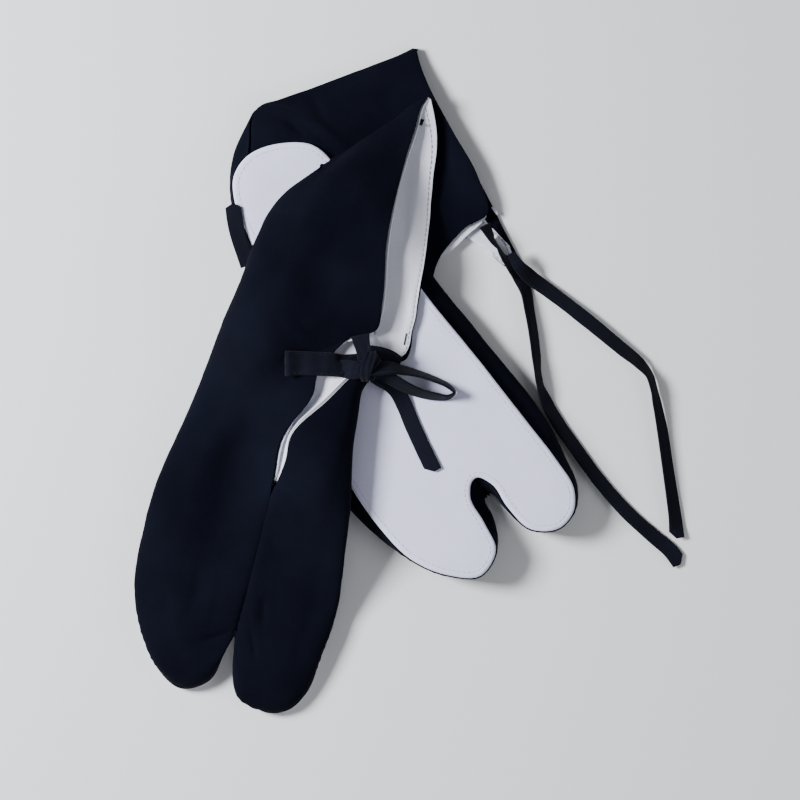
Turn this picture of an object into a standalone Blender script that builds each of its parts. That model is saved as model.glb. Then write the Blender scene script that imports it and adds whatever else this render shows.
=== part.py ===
"""A pair of split-toe tie socks (himo tabi), laid one over the other.

The left sock lies sole up with its shaft turned to its big-toe side.  The
right sock lies across it, sole down, with its shaft fallen the same way and
its tapes tied in a bow.  Each sock is cut as the real one is: a sole with a
toe split, an outer upper over the four toes, an inner upper over the big
toe, white facings where the mouth and the front slit show them, and tapes.

Lengths in the tables are millimetres.  A sock's own frame has "along" from
heel to toes and "across" from the little-toe side to the big-toe side.
"""
import math

import bmesh
import bpy
from mathutils import Matrix, Vector
from mathutils.bvhtree import BVHTree

MM = 0.001
COLLECTION = "Tabi socks"

# The middle of the pair on the floor plan, which goes to the origin
MIDDLE = (0.26, -0.68)

# Cloth
WALL = 1.6              # an upper's two layers of twill
SOLE_WALL = 3.0         # quilted cotton sole
FACING_WALL = 1.0
SEAM_GAP = 0.35         # between sewn pieces
FACING_GAP = 0.8        # between a facing and its upper
REVEAL = 1.2            # how far a facing rolls out past the edge it faces

# Tape ties
TAPE_WIDTH = 8.6
TAPE_WALL = 1.2
TAPE_STEP = 5.0         # length of one stretch between rings
TAPE_SLOPE = 0.55       # steepest that a lying tape climbs or falls

# Where each sock lies: its heel on the floor plan, and which way its toes point
RIGHT_HEEL = (-31.2, 81.9)
RIGHT_HEADING = -98.0
LEFT_HEEL = (-57.1, 122.4)
LEFT_HEADING = -56.0

# Heights
LEFT_THICK = 20.0       # the left foot, flattened, sole on top
LEFT_SHAFT = 8.6        # the left shaft beside it
REST_GAP = 0.45         # between the right sole and what it lies on
DRAPE_START = 7.0       # the right sock leaves the left sole this far past its edge
DRAPE_RUN = 46.0        # and comes down to the floor over this run
SHAFT_RUN = 36.0        # or down onto the left shaft over this one

# The toe lobes of the right sock lie a little closed
NOTCH_ALONG = 213.0
LOBE_LENGTH = 45.0
RIGHT_OUTER_LOBE = (-4.0, -4.5)      # how its tip moves along and across
RIGHT_INNER_LOBE = (0.0, -6.0)

# Sole edge from the heel round each side to the toe split: name, along, across
OUTER_EDGE = (
    ("heel", 0.0, -1.0),
    ("heel_corner", 5.5, -14.5),
    ("heel_side", 16.0, -21.0),
    ("arch_back", 36.0, -25.5),
    ("arch", 62.0, -31.0),
    ("waist_back", 76.0, -34.0),
    ("waist", 90.0, -37.5),
    ("waist_mid", 104.0, -41.0),
    ("waist_front", 118.0, -44.0),
    ("ball_back", 148.0, -51.0),
    ("ball_mid", 165.0, -54.0),
    ("ball", 180.0, -55.5),
    ("toe_root", 206.0, -55.0),
    ("little_toe", 230.0, -50.5),
    ("toes", 248.0, -39.0),
    ("toe_tip", 258.5, -24.0),
    ("toe_inside", 251.5, -9.5),
    ("notch_mid", 236.0, -6.5),
    ("notch_side", 219.0, -4.4),
    ("crotch", 213.3, 1.7),
)
INNER_EDGE = (
    ("heel", 0.0, 1.0),
    ("heel_corner", 5.3, 18.5),
    ("heel_side", 14.5, 30.5),
    ("arch_back", 36.0, 35.3),
    ("arch", 62.0, 35.8),
    ("waist_back", 76.0, 35.7),
    ("waist_mid", 83.0, 35.6),
    ("waist", 90.0, 35.6),
    ("waist_front", 118.0, 36.3),
    ("ball_back", 148.0, 39.0),
    ("ball_mid", 165.0, 40.5),
    ("ball", 180.0, 41.5),
    ("toe_root", 206.0, 43.3),
    ("great_toe", 230.0, 44.8),
    ("toe_side", 248.0, 43.8),
    ("tip_side", 258.0, 36.5),
    ("toe_tip", 261.0, 26.0),
    ("toe_inside", 253.0, 12.5),
    ("notch_mid", 236.0, 8.6),
    ("notch_side", 220.0, 8.2),
    ("crotch", 213.3, 3.3),
)

# Sections of each upper.  A section leaves the sole edge that its row names,
# passes its widest point, then the shoulder and the slope, and ends at its
# crest, on the mouth, the front slit or the centre seam.  Columns: edge,
# widest along, across, height, shoulder height, slope height, crest along,
# across, height.  The right sock's heights are above what it lies on.
RIGHT_SHARES = (0.30, 0.65)     # shoulder and slope, from widest to crest
RIGHT_OUTER = (
    ("heel", -33.0, 7.0, 8.6, 7.2, 5.6, -80.4, 60.2, 4.0),
    ("heel_corner", -3.0, -17.2, 9.0, 16.0, 13.0, -63.0, 55.5, 8.5),
    ("heel_side", 10.0, -21.4, 11.0, 20.0, 15.5, -36.0, 51.0, 12.0),
    ("arch_back", 35.0, -26.6, 12.0, 22.0, 16.0, 0.0, 48.5, 13.5),
    ("arch", 60.0, -33.6, 12.0, 22.0, 16.5, 31.7, 50.6, 12.5),
    ("waist_back", 75.0, -36.8, 11.0, 21.5, 17.0, 48.9, 49.6, 10.5),
    ("waist", 90.0, -40.1, 10.5, 21.0, 17.5, 61.2, 30.4, 15.0),
    ("waist_front", 117.0, -47.8, 10.0, 20.0, 18.0, 90.6, 19.6, 18.5),
    ("ball_back", 147.0, -55.6, 9.5, 19.0, 16.5, 114.0, 6.9, 19.5),
    ("ball_mid", 164.0, -58.7, 9.0, 18.5, 16.0, 136.5, 5.6, 19.5),
    ("ball", 179.0, -60.1, 9.0, 18.0, 15.5, 152.0, 4.6, 18.5),
    ("toe_root", 206.0, -59.4, 8.5, 16.5, 14.5, 178.4, 1.4, 16.5),
    ("little_toe", 229.5, -52.3, 8.0, 15.0, 14.0, 205.0, -1.4, 14.0),
    ("toes", 245.0, -41.8, 7.5, 13.5, 13.0, 214.0, -2.5, 12.4),
    ("toe_tip", 252.8, -23.8, 7.0, 12.2, 12.3, 218.0, -3.2, 11.5),
    ("toe_inside", 246.3, -13.8, 7.0, 11.3, 11.8, 219.8, -3.9, 11.0),
    ("notch_mid", 235.5, -9.8, 7.0, 10.4, 11.0, 220.8, -4.3, 10.7),
    ("notch_side", 225.6, -6.4, 6.5, 8.8, 9.6, 221.6, -4.7, 10.4),
    ("crotch", 218.5, -2.1, 6.2, 8.2, 9.2, 222.2, -5.0, 10.2),
)
RIGHT_INNER = (
    ("heel", -31.5, 8.5, 5.4, 4.6, 3.2, -79.8, 61.2, 1.6),
    ("heel_corner", -5.0, 26.0, 5.0, 3.3, 2.2, -62.5, 66.8, 1.2),
    ("heel_side", 8.0, 38.0, 4.8, 2.9, 1.8, -34.3, 68.5, 1.1),
    ("arch_back", 32.0, 43.0, 4.8, 2.8, 1.7, -2.0, 70.0, 1.1),
    ("arch", 58.0, 43.0, 4.8, 2.9, 1.9, 30.0, 70.0, 1.5),
    ("waist_back", 73.0, 43.0, 5.0, 3.4, 2.4, 56.0, 68.6, 2.0),
    ("waist_mid", 80.0, 44.0, 6.2, 6.4, 6.2, 63.0, 60.5, 6.2),
    ("waist", 87.0, 45.0, 8.0, 11.5, 13.0, 71.0, 44.5, 13.5),
    ("waist_front", 115.0, 45.2, 9.5, 17.0, 18.5, 90.5, 28.0, 18.5),
    ("ball_back", 146.0, 48.2, 9.5, 17.5, 19.0, 110.0, 12.4, 19.5),
    ("ball_mid", 164.0, 48.8, 9.0, 17.0, 18.5, 136.3, 8.1, 19.5),
    ("ball", 180.0, 49.0, 9.0, 16.5, 17.5, 152.0, 5.2, 18.5),
    ("toe_root", 207.0, 48.0, 8.5, 15.0, 15.8, 178.4, 2.0, 16.5),
    ("great_toe", 228.5, 43.6, 8.0, 14.2, 14.2, 205.0, -0.8, 14.0),
    ("toe_side", 244.3, 38.9, 7.5, 13.5, 13.2, 213.0, -1.8, 12.7),
    ("tip_side", 254.6, 31.8, 7.5, 12.8, 12.8, 217.0, -2.4, 11.9),
    ("toe_tip", 260.0, 20.9, 7.0, 12.2, 12.4, 219.0, -2.8, 11.4),
    ("toe_inside", 255.8, 4.8, 7.0, 11.8, 11.8, 220.4, -2.8, 11.0),
    ("notch_mid", 238.0, -1.2, 7.0, 11.0, 11.2, 221.4, -2.7, 10.7),
    ("notch_side", 225.8, -0.6, 6.5, 9.0, 9.8, 222.0, -2.5, 10.4),
    ("crotch", 218.7, 0.1, 6.2, 8.2, 9.2, 222.6, -2.3, 10.2),
)

# The left sock's heights are above the floor.
FLOOR_LAYER = WALL / 2
LEFT_SHARES = (0.12, 0.50)
LEFT_OUTER = (
    ("heel", -18.6, 17.4, 5.6, 3.9, 2.0, 3.0, 104.8, 1.0),
    ("heel_corner", -3.8, -8.0, 8.5, 0.8, 0.8, 22.0, 100.6, 0.8),
    ("heel_side", 14.0, -21.8, 9.0, 0.8, 0.8, 49.6, 97.4, 0.8),
    ("arch_back", 35.0, -28.5, 9.0, 0.8, 0.8, 79.8, 95.0, 0.8),
    ("arch", 61.0, -35.0, 9.0, 0.8, 0.8, 106.0, 91.8, 0.8),
    ("waist_back", 75.0, -38.5, 9.0, 0.8, 0.8, 134.0, 87.6, 0.8),
    ("waist", 89.0, -42.5, 9.0, 0.8, 0.8, 117.0, 78.4, 0.8),
    ("waist_mid", 103.0, -46.5, 9.0, 0.8, 0.8, 96.4, 70.0, 0.8),
    ("waist_front", 117.0, -50.5, 9.0, 0.8, 0.8, 101.0, 52.0, 0.8),
    ("ball_back", 147.0, -58.0, 9.0, 0.8, 0.8, 114.0, 33.0, 0.8),
    ("ball_mid", 164.0, -61.5, 9.0, 0.8, 0.8, 136.5, 6.3, 0.8),
    ("ball", 180.0, -63.0, 9.0, 0.8, 0.8, 152.0, 4.8, 0.8),
    ("toe_root", 205.0, -59.2, 8.5, 0.8, 0.8, 178.4, 3.6, 0.8),
    ("little_toe", 230.0, -50.4, 8.0, 0.8, 0.8, 205.0, 3.1, 0.8),
    ("toes", 248.0, -38.4, 7.5, 0.8, 0.8, 214.0, 2.9, 0.8),
    ("toe_tip", 257.7, -23.6, 7.0, 0.8, 0.8, 218.5, 2.8, 0.8),
    ("toe_inside", 250.0, -8.4, 7.0, 0.8, 0.8, 221.0, 2.8, 0.8),
    ("notch_mid", 236.0, -1.6, 7.5, 0.8, 0.8, 222.6, 2.9, 0.8),
    ("notch_side", 225.4, 0.1, 8.0, 0.8, 0.8, 223.4, 2.9, 0.8),
    ("crotch", 222.3, 2.3, 8.0, 1.6, 0.8, 223.9, 2.7, 0.8),
)
LEFT_OUTER_BENDS = {        # slope points off the straight line, along and across
    "heel_side": (37.0, 56.0),
    "arch_back": (52.0, 70.0),
    "arch": (63.0, 72.0),
    "waist_back": (71.0, 72.0),
    "waist": (77.5, 70.0),
    "waist_mid": (84.0, 66.0),
    "waist_front": (104.0, 28.0),
}
LEFT_INNER = (
    ("heel", -18.4, 18.4, 9.2, 7.2, 5.2, 3.2, 105.2, 3.8),
    ("heel_corner", -6.0, 30.0, 12.5, 11.0, 8.6, 22.0, 101.0, 7.4),
    ("heel_side", 8.0, 40.0, 14.0, 12.5, 9.0, 49.6, 98.0, 8.6),
    ("arch_back", 38.0, 44.4, 14.2, 12.8, 9.0, 79.8, 95.2, 8.0),
    ("arch", 66.0, 45.0, 14.2, 13.0, 9.0, 98.5, 88.0, 6.8),
    ("waist_back", 82.0, 44.4, 14.0, 13.0, 9.0, 97.8, 74.5, 7.0),
    ("waist_mid", 89.0, 44.2, 13.8, 12.8, 9.0, 99.6, 65.5, 6.8),
    ("waist", 96.0, 44.2, 13.0, 11.5, 8.4, 103.0, 54.5, 6.2),
    ("waist_front", 117.0, 44.6, 9.0, 3.4, 1.6, 118.5, 35.0, 0.8),
    ("ball_back", 148.0, 47.6, 9.0, 0.8, 0.8, 127.5, 21.0, 0.8),
    ("ball_mid", 165.0, 49.2, 9.0, 0.8, 0.8, 136.6, 7.8, 0.8),
    ("ball", 180.0, 50.4, 9.0, 0.8, 0.8, 152.0, 5.4, 0.8),
    ("toe_root", 207.0, 51.6, 8.5, 0.8, 0.8, 178.4, 4.2, 0.8),
    ("great_toe", 231.0, 48.9, 8.0, 0.8, 0.8, 205.0, 3.7, 0.8),
    ("toe_side", 249.0, 44.6, 7.5, 0.8, 0.8, 214.0, 3.5, 0.8),
    ("tip_side", 258.0, 36.2, 7.0, 0.8, 0.8, 218.5, 3.4, 0.8),
    ("toe_tip", 260.4, 26.0, 7.0, 0.8, 0.8, 220.5, 3.4, 0.8),
    ("toe_inside", 254.0, 13.4, 7.0, 0.8, 0.8, 222.0, 3.4, 0.8),
    ("notch_mid", 236.0, 7.8, 7.5, 0.8, 0.8, 223.0, 3.45, 0.8),
    ("notch_side", 225.8, 6.4, 8.0, 0.8, 0.8, 223.7, 3.6, 0.8),
    ("crotch", 222.4, 4.2, 8.0, 1.6, 0.8, 223.9, 3.8, 0.8),
)

SPAN_STEPS = 3          # grid steps between two control points of a section
ROW_STEPS = 2           # grid steps between two sections
SOLE_CELL = 14.0        # a sole's face size

# Facings: sock, panel, first and last section, first column of the grid
FACINGS = (
    ("right", "outer", "heel_corner", "ball_mid", 10),
    ("right", "inner", "heel_corner", "ball_mid", 5),
    ("left", "outer", "arch_back", "waist_front", 10),
    ("left", "inner", "arch_back", "waist", 10),
)

# Colours: linear base colour, roughness
TWILL = ((0.010, 0.011, 0.021), 0.86)
SOLE_COTTON = ((0.62, 0.62, 0.70), 0.9)
FACING_COTTON = ((0.60, 0.60, 0.67), 0.9)
TAPE_TWILL = ((0.009, 0.010, 0.019), 0.84)

# Tapes.  Columns: x, y on the floor plan, turn about the tape's run (0 lies
# flat, 90 stands on edge) and, where it doesn't lie on what is under it, the
# height of its middle.
KNOT = (4.5, 6.6, 39.4)
KNOT_SIZE = (7.4, 6.6, 4.4)         # half sizes
BAND = ((-37.8, 9.2, 0), (-29.0, 9.2, 0), (-22.0, 9.0, 0), (-15.0, 8.6, 0), (-9.0, 7.9, 0), (-4.6, 7.2, 0))
BAND_WIDTHS = (13.6, 13.0, 12.4, 11.0, 9.4, 8.0)
SHAFT_TIE = (
    (3.6, 14.2, 0, 36.0), (3.4, 17.0, 0, 32.0), (3.1, 20.2, 0, 28.2), (2.9, 24.4, 0, 27.4),
)
MOUTH_TIE = (
    (22.6, 11.8, 8, 27.9), (18.6, 12.4, 8, 29.4), (14.4, 12.8, 8, 32.6), (10.8, 13.1, 8, 35.8),
)
BOW_LOOP = (
    (12.8, 7.6, 30, 39.6), (18.5, 8.0, 56, 37.2), (26.0, 6.2, 74, 31.4), (34.7, 3.8, 80, 26.6),
    (43.4, 0.6, 80, 25.0), (50.0, -3.1, 82, 25.0), (53.2, -6.6, 84, 25.0),
    (50.6, -8.7, 78, 25.0), (43.4, -8.6, 64, 25.0), (34.7, -6.8, 58, 25.2),
    (26.6, -3.4, 50, 29.4), (19.0, 0.9, 40, 34.0), (12.9, 4.5, 30, 37.0),
)
BOW_END = (
    (13.6, 0.4, 20, 30.4), (18.6, -2.4, 16, 27.2), (22.8, -6.8, 10, 23.9), (26.2, -13.2, 2, 21.5),
    (29.9, -22.4, 0, 20.95), (35.0, -33.8, 0, 20.95), (39.4, -43.0, 0, 20.95),
    (42.4, -49.2, 0, 20.95),
)
HEEL_TIE = (
    (-66.4, 95.8, 0, 20.95), (-65.4, 87.0, 0, 20.95), (-62.8, 76.0, 0, 20.95),
    (-59.6, 66.8, 0, 20.95), (-58.0, 62.0, 0, 20.95),
)
LEFT_INNER_TIE = (
    (70.9, 86.6, 36), (75.6, 77.4, 48), (80.6, 66.6, 52), (85.6, 57.0, 52), (90.0, 48.4, 52),
    (93.2, 39.8, 54), (95.8, 28.0, 56), (97.6, 14.0, 58), (98.7, 3.0, 68), (99.9, -3.0, 66),
    (103.0, -11.0, 44), (109.2, -22.4, 38), (118.9, -36.4, 36), (132.2, -54.6, 34),
    (148.0, -72.4, 30), (161.8, -84.8, 24), (170.8, -92.6, 14), (176.0, -99.6, 6),
)
LEFT_OUTER_TIE = (
    (85.4, 67.0, 0), (88.8, 61.4, 14), (96.6, 55.0, 28), (107.8, 48.0, 36), (121.2, 38.8, 38),
    (134.6, 28.4, 38), (147.8, 17.2, 42), (156.6, 8.0, 54), (160.6, -0.2, 66), (162.9, -10.0, 60),
    (166.0, -26.8, 48), (168.4, -43.0, 46), (170.8, -59.2, 42), (173.0, -74.6, 34),
    (174.0, -85.6, 20),
)
# Where the right sock is lifted by the tie that passes under it
LIFT_SPOT = (-58.0, 64.0)
LIFT_HEIGHT = 2.2
LIFT_REACH = 20.0


def clear_scene():
    for item in list(bpy.data.objects):
        bpy.data.objects.remove(item)


def material(name, look):
    colour, roughness = look
    made = bpy.data.materials.new(name)
    made.use_nodes = True
    shader = made.node_tree.nodes["Principled BSDF"]
    shader.inputs["Base Color"].default_value = (*colour, 1.0)
    shader.inputs["Roughness"].default_value = roughness
    shader.inputs["Metallic"].default_value = 0.0
    return made


def smooth(value):
    """0 to 1 with level ends."""
    value = min(1.0, max(0.0, value))
    return value * value * (3.0 - 2.0 * value)


def curve_through(points, steps):
    """A smooth open curve through points, with steps stretches in each span."""
    spans = [max((b - a).length, 1e-6) for a, b in zip(points, points[1:])]
    slopes = [(b - a) / span for a, b, span in zip(points, points[1:], spans)]
    tangents = [slopes[0]]
    for i in range(1, len(spans)):
        before, after = spans[i - 1], spans[i]
        tangents.append((slopes[i - 1] * after + slopes[i] * before) / (before + after))
    tangents.append(slopes[-1])
    curve = []
    for i, span in enumerate(spans):
        for step in range(steps):
            t = step / steps
            start = points[i] * (1 + 2 * t) * (1 - t) ** 2 + tangents[i] * span * t * (1 - t) ** 2
            end = points[i + 1] * t * t * (3 - 2 * t) - tangents[i + 1] * span * t * t * (1 - t)
            curve.append(start + end)
    curve.append(points[-1].copy())
    return curve


class Sock:
    """One sock's own frame, and the height that its own heights start from."""

    def __init__(self, name, heel, heading, outer_lobe=(0.0, 0.0), inner_lobe=(0.0, 0.0), rest=None):
        self.name = name
        self.heel = Vector(heel)
        self.toes = Vector((math.cos(math.radians(heading)), math.sin(math.radians(heading))))
        self.medial = Vector((-self.toes.y, self.toes.x))
        self.lobes = {"outer": outer_lobe, "inner": inner_lobe}
        self.rest = rest

    def plan(self, along, across):
        return self.heel + self.toes * along + self.medial * across

    def own(self, point):
        offset = Vector(point) - self.heel
        return offset.dot(self.toes), offset.dot(self.medial)

    def edge_point(self, side, along, across):
        """A point of the sole's edge, with the toe lobes as this sock lies."""
        share = smooth((along - NOTCH_ALONG) / LOBE_LENGTH)
        back, over = self.lobes[side]
        return Vector((along + back * share, across + over * share))

    def place(self, point):
        """A point of the sock's own frame and height in the world."""
        spot = self.plan(point.x, point.y)
        base = self.rest(spot) if self.rest else 0.0
        return Vector((spot.x, spot.y, base + point.z))


def sole_outline(sock):
    """The sole's edge in the sock's own frame, once round."""
    outer = [sock.edge_point("outer", row[1], row[2]) for row in OUTER_EDGE]
    inner = [sock.edge_point("inner", row[1], row[2]) for row in INNER_EDGE]
    ring = outer + inner[::-1]
    # The ends of the two lists are neighbours, so the curve is run once round
    # with two points more at each end, which are then left out.
    curve = curve_through(ring[-2:] + ring + ring[:2], ROW_STEPS)
    return curve[2 * ROW_STEPS:(2 + len(ring)) * ROW_STEPS]


def inside_distance(spot, outline):
    """Distance to the outline, positive inside it."""
    nearest = 1e9
    inside = False
    for a, b in zip(outline, outline[1:] + outline[:1]):
        edge = b - a
        share = min(1.0, max(0.0, (spot - a).dot(edge) / edge.length_squared))
        nearest = min(nearest, (spot - a - edge * share).length)
        if (a.y > spot.y) != (b.y > spot.y):
            if spot.x < a.x + (spot.y - a.y) * edge.x / edge.y:
                inside = not inside
    return nearest if inside else -nearest


def make_rest(left):
    """How high the right sock's underside is over each spot of the floor."""
    outline = [left.plan(*point) for point in sole_outline(left)]

    def rest(spot):
        within = inside_distance(spot, outline)
        top = LEFT_THICK + REST_GAP
        to_floor = top * smooth(1.0 + (within + DRAPE_START) / DRAPE_RUN)
        shaft_top = LEFT_SHAFT + WALL + REST_GAP
        to_shaft = shaft_top + (top - shaft_top) * smooth(1.0 + within / SHAFT_RUN)
        shaft_side = smooth(left.own(spot)[1] / 20.0)
        lift = math.exp(-((spot - Vector(LIFT_SPOT)).length / LIFT_REACH) ** 2)
        return to_floor + (to_shaft - to_floor) * shaft_side + LIFT_HEIGHT * lift

    return rest


def panel_grid(sock, side, rows, shares, bends, start_height):
    """An upper's middle surface: sections from its sole edge to its crest."""
    edges = {row[0]: row[1:] for row in (OUTER_EDGE if side == "outer" else INNER_EDGE)}
    sections = []
    for name, along, across, high, shoulder, slope, crest_along, crest_across, crest_high in rows:
        edge = sock.edge_point(side, *edges[name])
        foot = Vector((edge.x, edge.y, start_height))
        widest = Vector((along, across, high))
        crest = Vector((crest_along, crest_across, crest_high))
        points = [foot, widest]
        for share, height in zip(shares, (shoulder, slope)):
            point = widest.lerp(crest, share)
            point.z = height
            points.append(point)
        if name in bends:
            points[-1].xy = bends[name]
        sections.append(curve_through(points + [crest], SPAN_STEPS))
    columns = [curve_through(list(column), ROW_STEPS) for column in zip(*sections)]
    return [list(row) for row in zip(*columns)]


def grid_normals(grid):
    """A unit normal at each point of a grid, from its neighbours."""
    normals = []
    last_row, last_column = len(grid) - 1, len(grid[0]) - 1
    for i, row in enumerate(grid):
        line = []
        for j in range(len(row)):
            by_row = grid[min(i + 1, last_row)][j] - grid[max(i - 1, 0)][j]
            by_column = row[min(j + 1, last_column)] - row[max(j - 1, 0)]
            line.append(by_row.cross(by_column).normalized())
        normals.append(line)
    return normals


def add_object(name, points, faces, look, collection):
    mesh = bpy.data.meshes.new(name)
    mesh.from_pydata([point * MM for point in points], [], faces)
    mesh.shade_smooth()
    made = bpy.data.objects.new(name, mesh)
    made.data.materials.append(material(name, look))
    collection.objects.link(made)
    return made


def thicken(made, thickness):
    shell = made.modifiers.new("Cloth", "SOLIDIFY")
    shell.thickness = thickness * MM
    shell.offset = 0.0
    return made


def add_sheet(name, grid, thickness, look, collection):
    """An open grid of points with the cloth's thickness round it."""
    width = len(grid[0])
    points = [point for row in grid for point in row]
    faces = []
    for i in range(len(grid) - 1):
        for j in range(width - 1):
            corner = i * width + j
            faces.append((corner, corner + 1, corner + width + 1, corner + width))
    return thicken(add_object(name, points, faces, look, collection), thickness)


def add_sole(sock, middle_height, collection):
    """The foot-shaped sole, cut into small faces so that it can drape."""
    outline = sole_outline(sock)
    shape = bmesh.new()
    shape.faces.new([shape.verts.new((point.x, point.y, 0.0)) for point in outline])
    for axis, low, high in ((0, -5.0, 262.0), (1, -56.0, 46.0)):
        place = low + SOLE_CELL
        while place < high:
            centre, normal = Vector(), Vector()
            centre[axis] = place
            normal[axis] = 1.0
            everything = shape.verts[:] + shape.edges[:] + shape.faces[:]
            bmesh.ops.bisect_plane(shape, geom=everything, plane_co=centre, plane_no=normal)
            place += SOLE_CELL
    points = []
    shape.verts.index_update()
    for vertex in shape.verts:
        points.append(sock.place(Vector((vertex.co.x, vertex.co.y, middle_height))))
    faces = [[vertex.index for vertex in face.verts] for face in shape.faces]
    shape.free()
    return thicken(add_object(f"{sock.name}_sole", points, faces, SOLE_COTTON, collection), SOLE_WALL)


def add_sock(sock, panels, shares, bends, start_height, collection):
    """The two uppers of one sock.  Returns their middle surfaces by side."""
    grids = {}
    for side, rows in panels.items():
        own = panel_grid(sock, side, rows, shares, bends.get(side, {}), start_height)
        grids[side] = [[sock.place(point) for point in row] for row in own]
        if sock.rest is None:
            for row in grids[side]:
                for point in row:
                    point.z = max(point.z, FLOOR_LAYER)
        add_sheet(f"{sock.name}_{side}_upper", grids[side], WALL, TWILL, collection)
    return grids


def add_facing(sock, side, grid, rows, first, last, first_column, inward, collection):
    """A white facing inside an upper, from the upper's points moved inward."""
    names = [row[0] for row in rows]
    top, bottom = names.index(first) * ROW_STEPS, names.index(last) * ROW_STEPS
    normals = grid_normals(grid)
    distance = inward * (WALL / 2 + FACING_GAP + FACING_WALL / 2)
    facing = []
    for i in range(top, bottom + 1):
        line = [grid[i][j] + normals[i][j] * distance for j in range(first_column, len(grid[i]))]
        roll = REVEAL * min(1.0, (bottom - i) / ROW_STEPS)
        line.append(line[-1] + (line[-1] - line[-2]).normalized() * max(roll, 0.1))
        facing.append(line)
    return add_sheet(f"{sock.name}_{side}_facing", facing, FACING_WALL, FACING_COTTON, collection)


class Ground:
    """The top of the solids made so far, for what is laid on them."""

    def __init__(self, solids):
        bpy.context.view_layer.update()
        depsgraph = bpy.context.evaluated_depsgraph_get()
        self.trees = [BVHTree.FromObject(solid, depsgraph) for solid in solids]

    def top(self, x, y):
        start = Vector((x, y, 200.0)) * MM
        hits = [tree.ray_cast(start, Vector((0.0, 0.0, -1.0)))[0] for tree in self.trees]
        return max([hit.z / MM for hit in hits if hit] + [0.0])


def lying_heights(spots, turns, widths, ground):
    """Heights at which a tape clears what is under it, with no steep step."""
    needs = []
    for i, spot in enumerate(spots):
        before, after = spots[max(i - 1, 0)], spots[min(i + 1, len(spots) - 1)]
        run = (after - before).normalized()
        side = Vector((run.y, -run.x, 0.0)) * (widths[i] / 2 * math.cos(turns[i]))
        reach = (after - before).length / 2
        tops = [0.0]
        for forward in (-1.0, -0.5, 0.0, 0.5, 1.0):
            for over in (-1.0, -0.5, 0.0, 0.5, 1.0):
                under = spot + run * (reach * forward) + side * over
                tops.append(ground.top(under.x, under.y))
        half = widths[i] / 2 * abs(math.sin(turns[i])) + TAPE_WALL / 2 * math.cos(turns[i])
        needs.append(max(tops) + SEAM_GAP + half)
    for order in (range(1, len(spots)), range(len(spots) - 2, -1, -1)):
        for i in order:
            other = i - 1 if order.step > 0 else i + 1
            fall = TAPE_SLOPE * (spots[i] - spots[other]).length
            needs[i] = max(needs[i], needs[other] - fall)
    return needs


def add_tape(name, rows, collection, ground=None, widths=None):
    """A flat tape along its route, lying on the ground where one is given."""
    length = sum(math.dist(a[:2], b[:2]) for a, b in zip(rows, rows[1:]))
    steps = max(1, round(length / (len(rows) - 1) / TAPE_STEP))
    spots = curve_through([Vector((row[0], row[1], 0.0 if ground else row[3])) for row in rows], steps)
    turned = curve_through([Vector((i, row[2])) for i, row in enumerate(rows)], steps)
    turns = [math.radians(point.y) for point in turned]
    given = widths or [TAPE_WIDTH] * len(rows)
    wide = [point.y for point in curve_through([Vector(pair) for pair in enumerate(given)], steps)]
    if ground:
        for spot, height in zip(spots, lying_heights(spots, turns, wide, ground)):
            spot.z = height
    points = []
    for i, spot in enumerate(spots):
        run = (spots[min(i + 1, len(spots) - 1)] - spots[max(i - 1, 0)]).normalized()
        side = run.cross(Vector((0.0, 0.0, 1.0))).normalized()
        up = side.cross(run)
        over = (side * math.cos(turns[i]) + up * math.sin(turns[i])) * (wide[i] / 2)
        thick = over.normalized().cross(run) * (TAPE_WALL / 2)
        points += [spot - over - thick, spot + over - thick, spot + over + thick, spot - over + thick]
    last = len(points) - 4
    faces = [(0, 1, 2, 3), (last + 3, last + 2, last + 1, last)]
    for ring in range(0, last, 4):
        for k in range(4):
            after = (k + 1) % 4
            faces.append((ring + k, ring + 4 + k, ring + 4 + after, ring + after))
    made = add_object(name, points, faces, TAPE_TWILL, collection)
    made.data.set_sharp_from_angle(angle=math.radians(40))
    return made


def add_knot(collection):
    shape = bmesh.new()
    bmesh.ops.create_uvsphere(shape, u_segments=16, v_segments=10, radius=1.0)
    bmesh.ops.scale(shape, vec=[size * MM for size in KNOT_SIZE], verts=shape.verts)
    bmesh.ops.translate(shape, vec=[place * MM for place in KNOT], verts=shape.verts)
    mesh = bpy.data.meshes.new("right_knot")
    shape.to_mesh(mesh)
    shape.free()
    mesh.shade_smooth()
    made = bpy.data.objects.new("right_knot", mesh)
    made.data.materials.append(material("right_knot", TAPE_TWILL))
    collection.objects.link(made)
    return made


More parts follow.
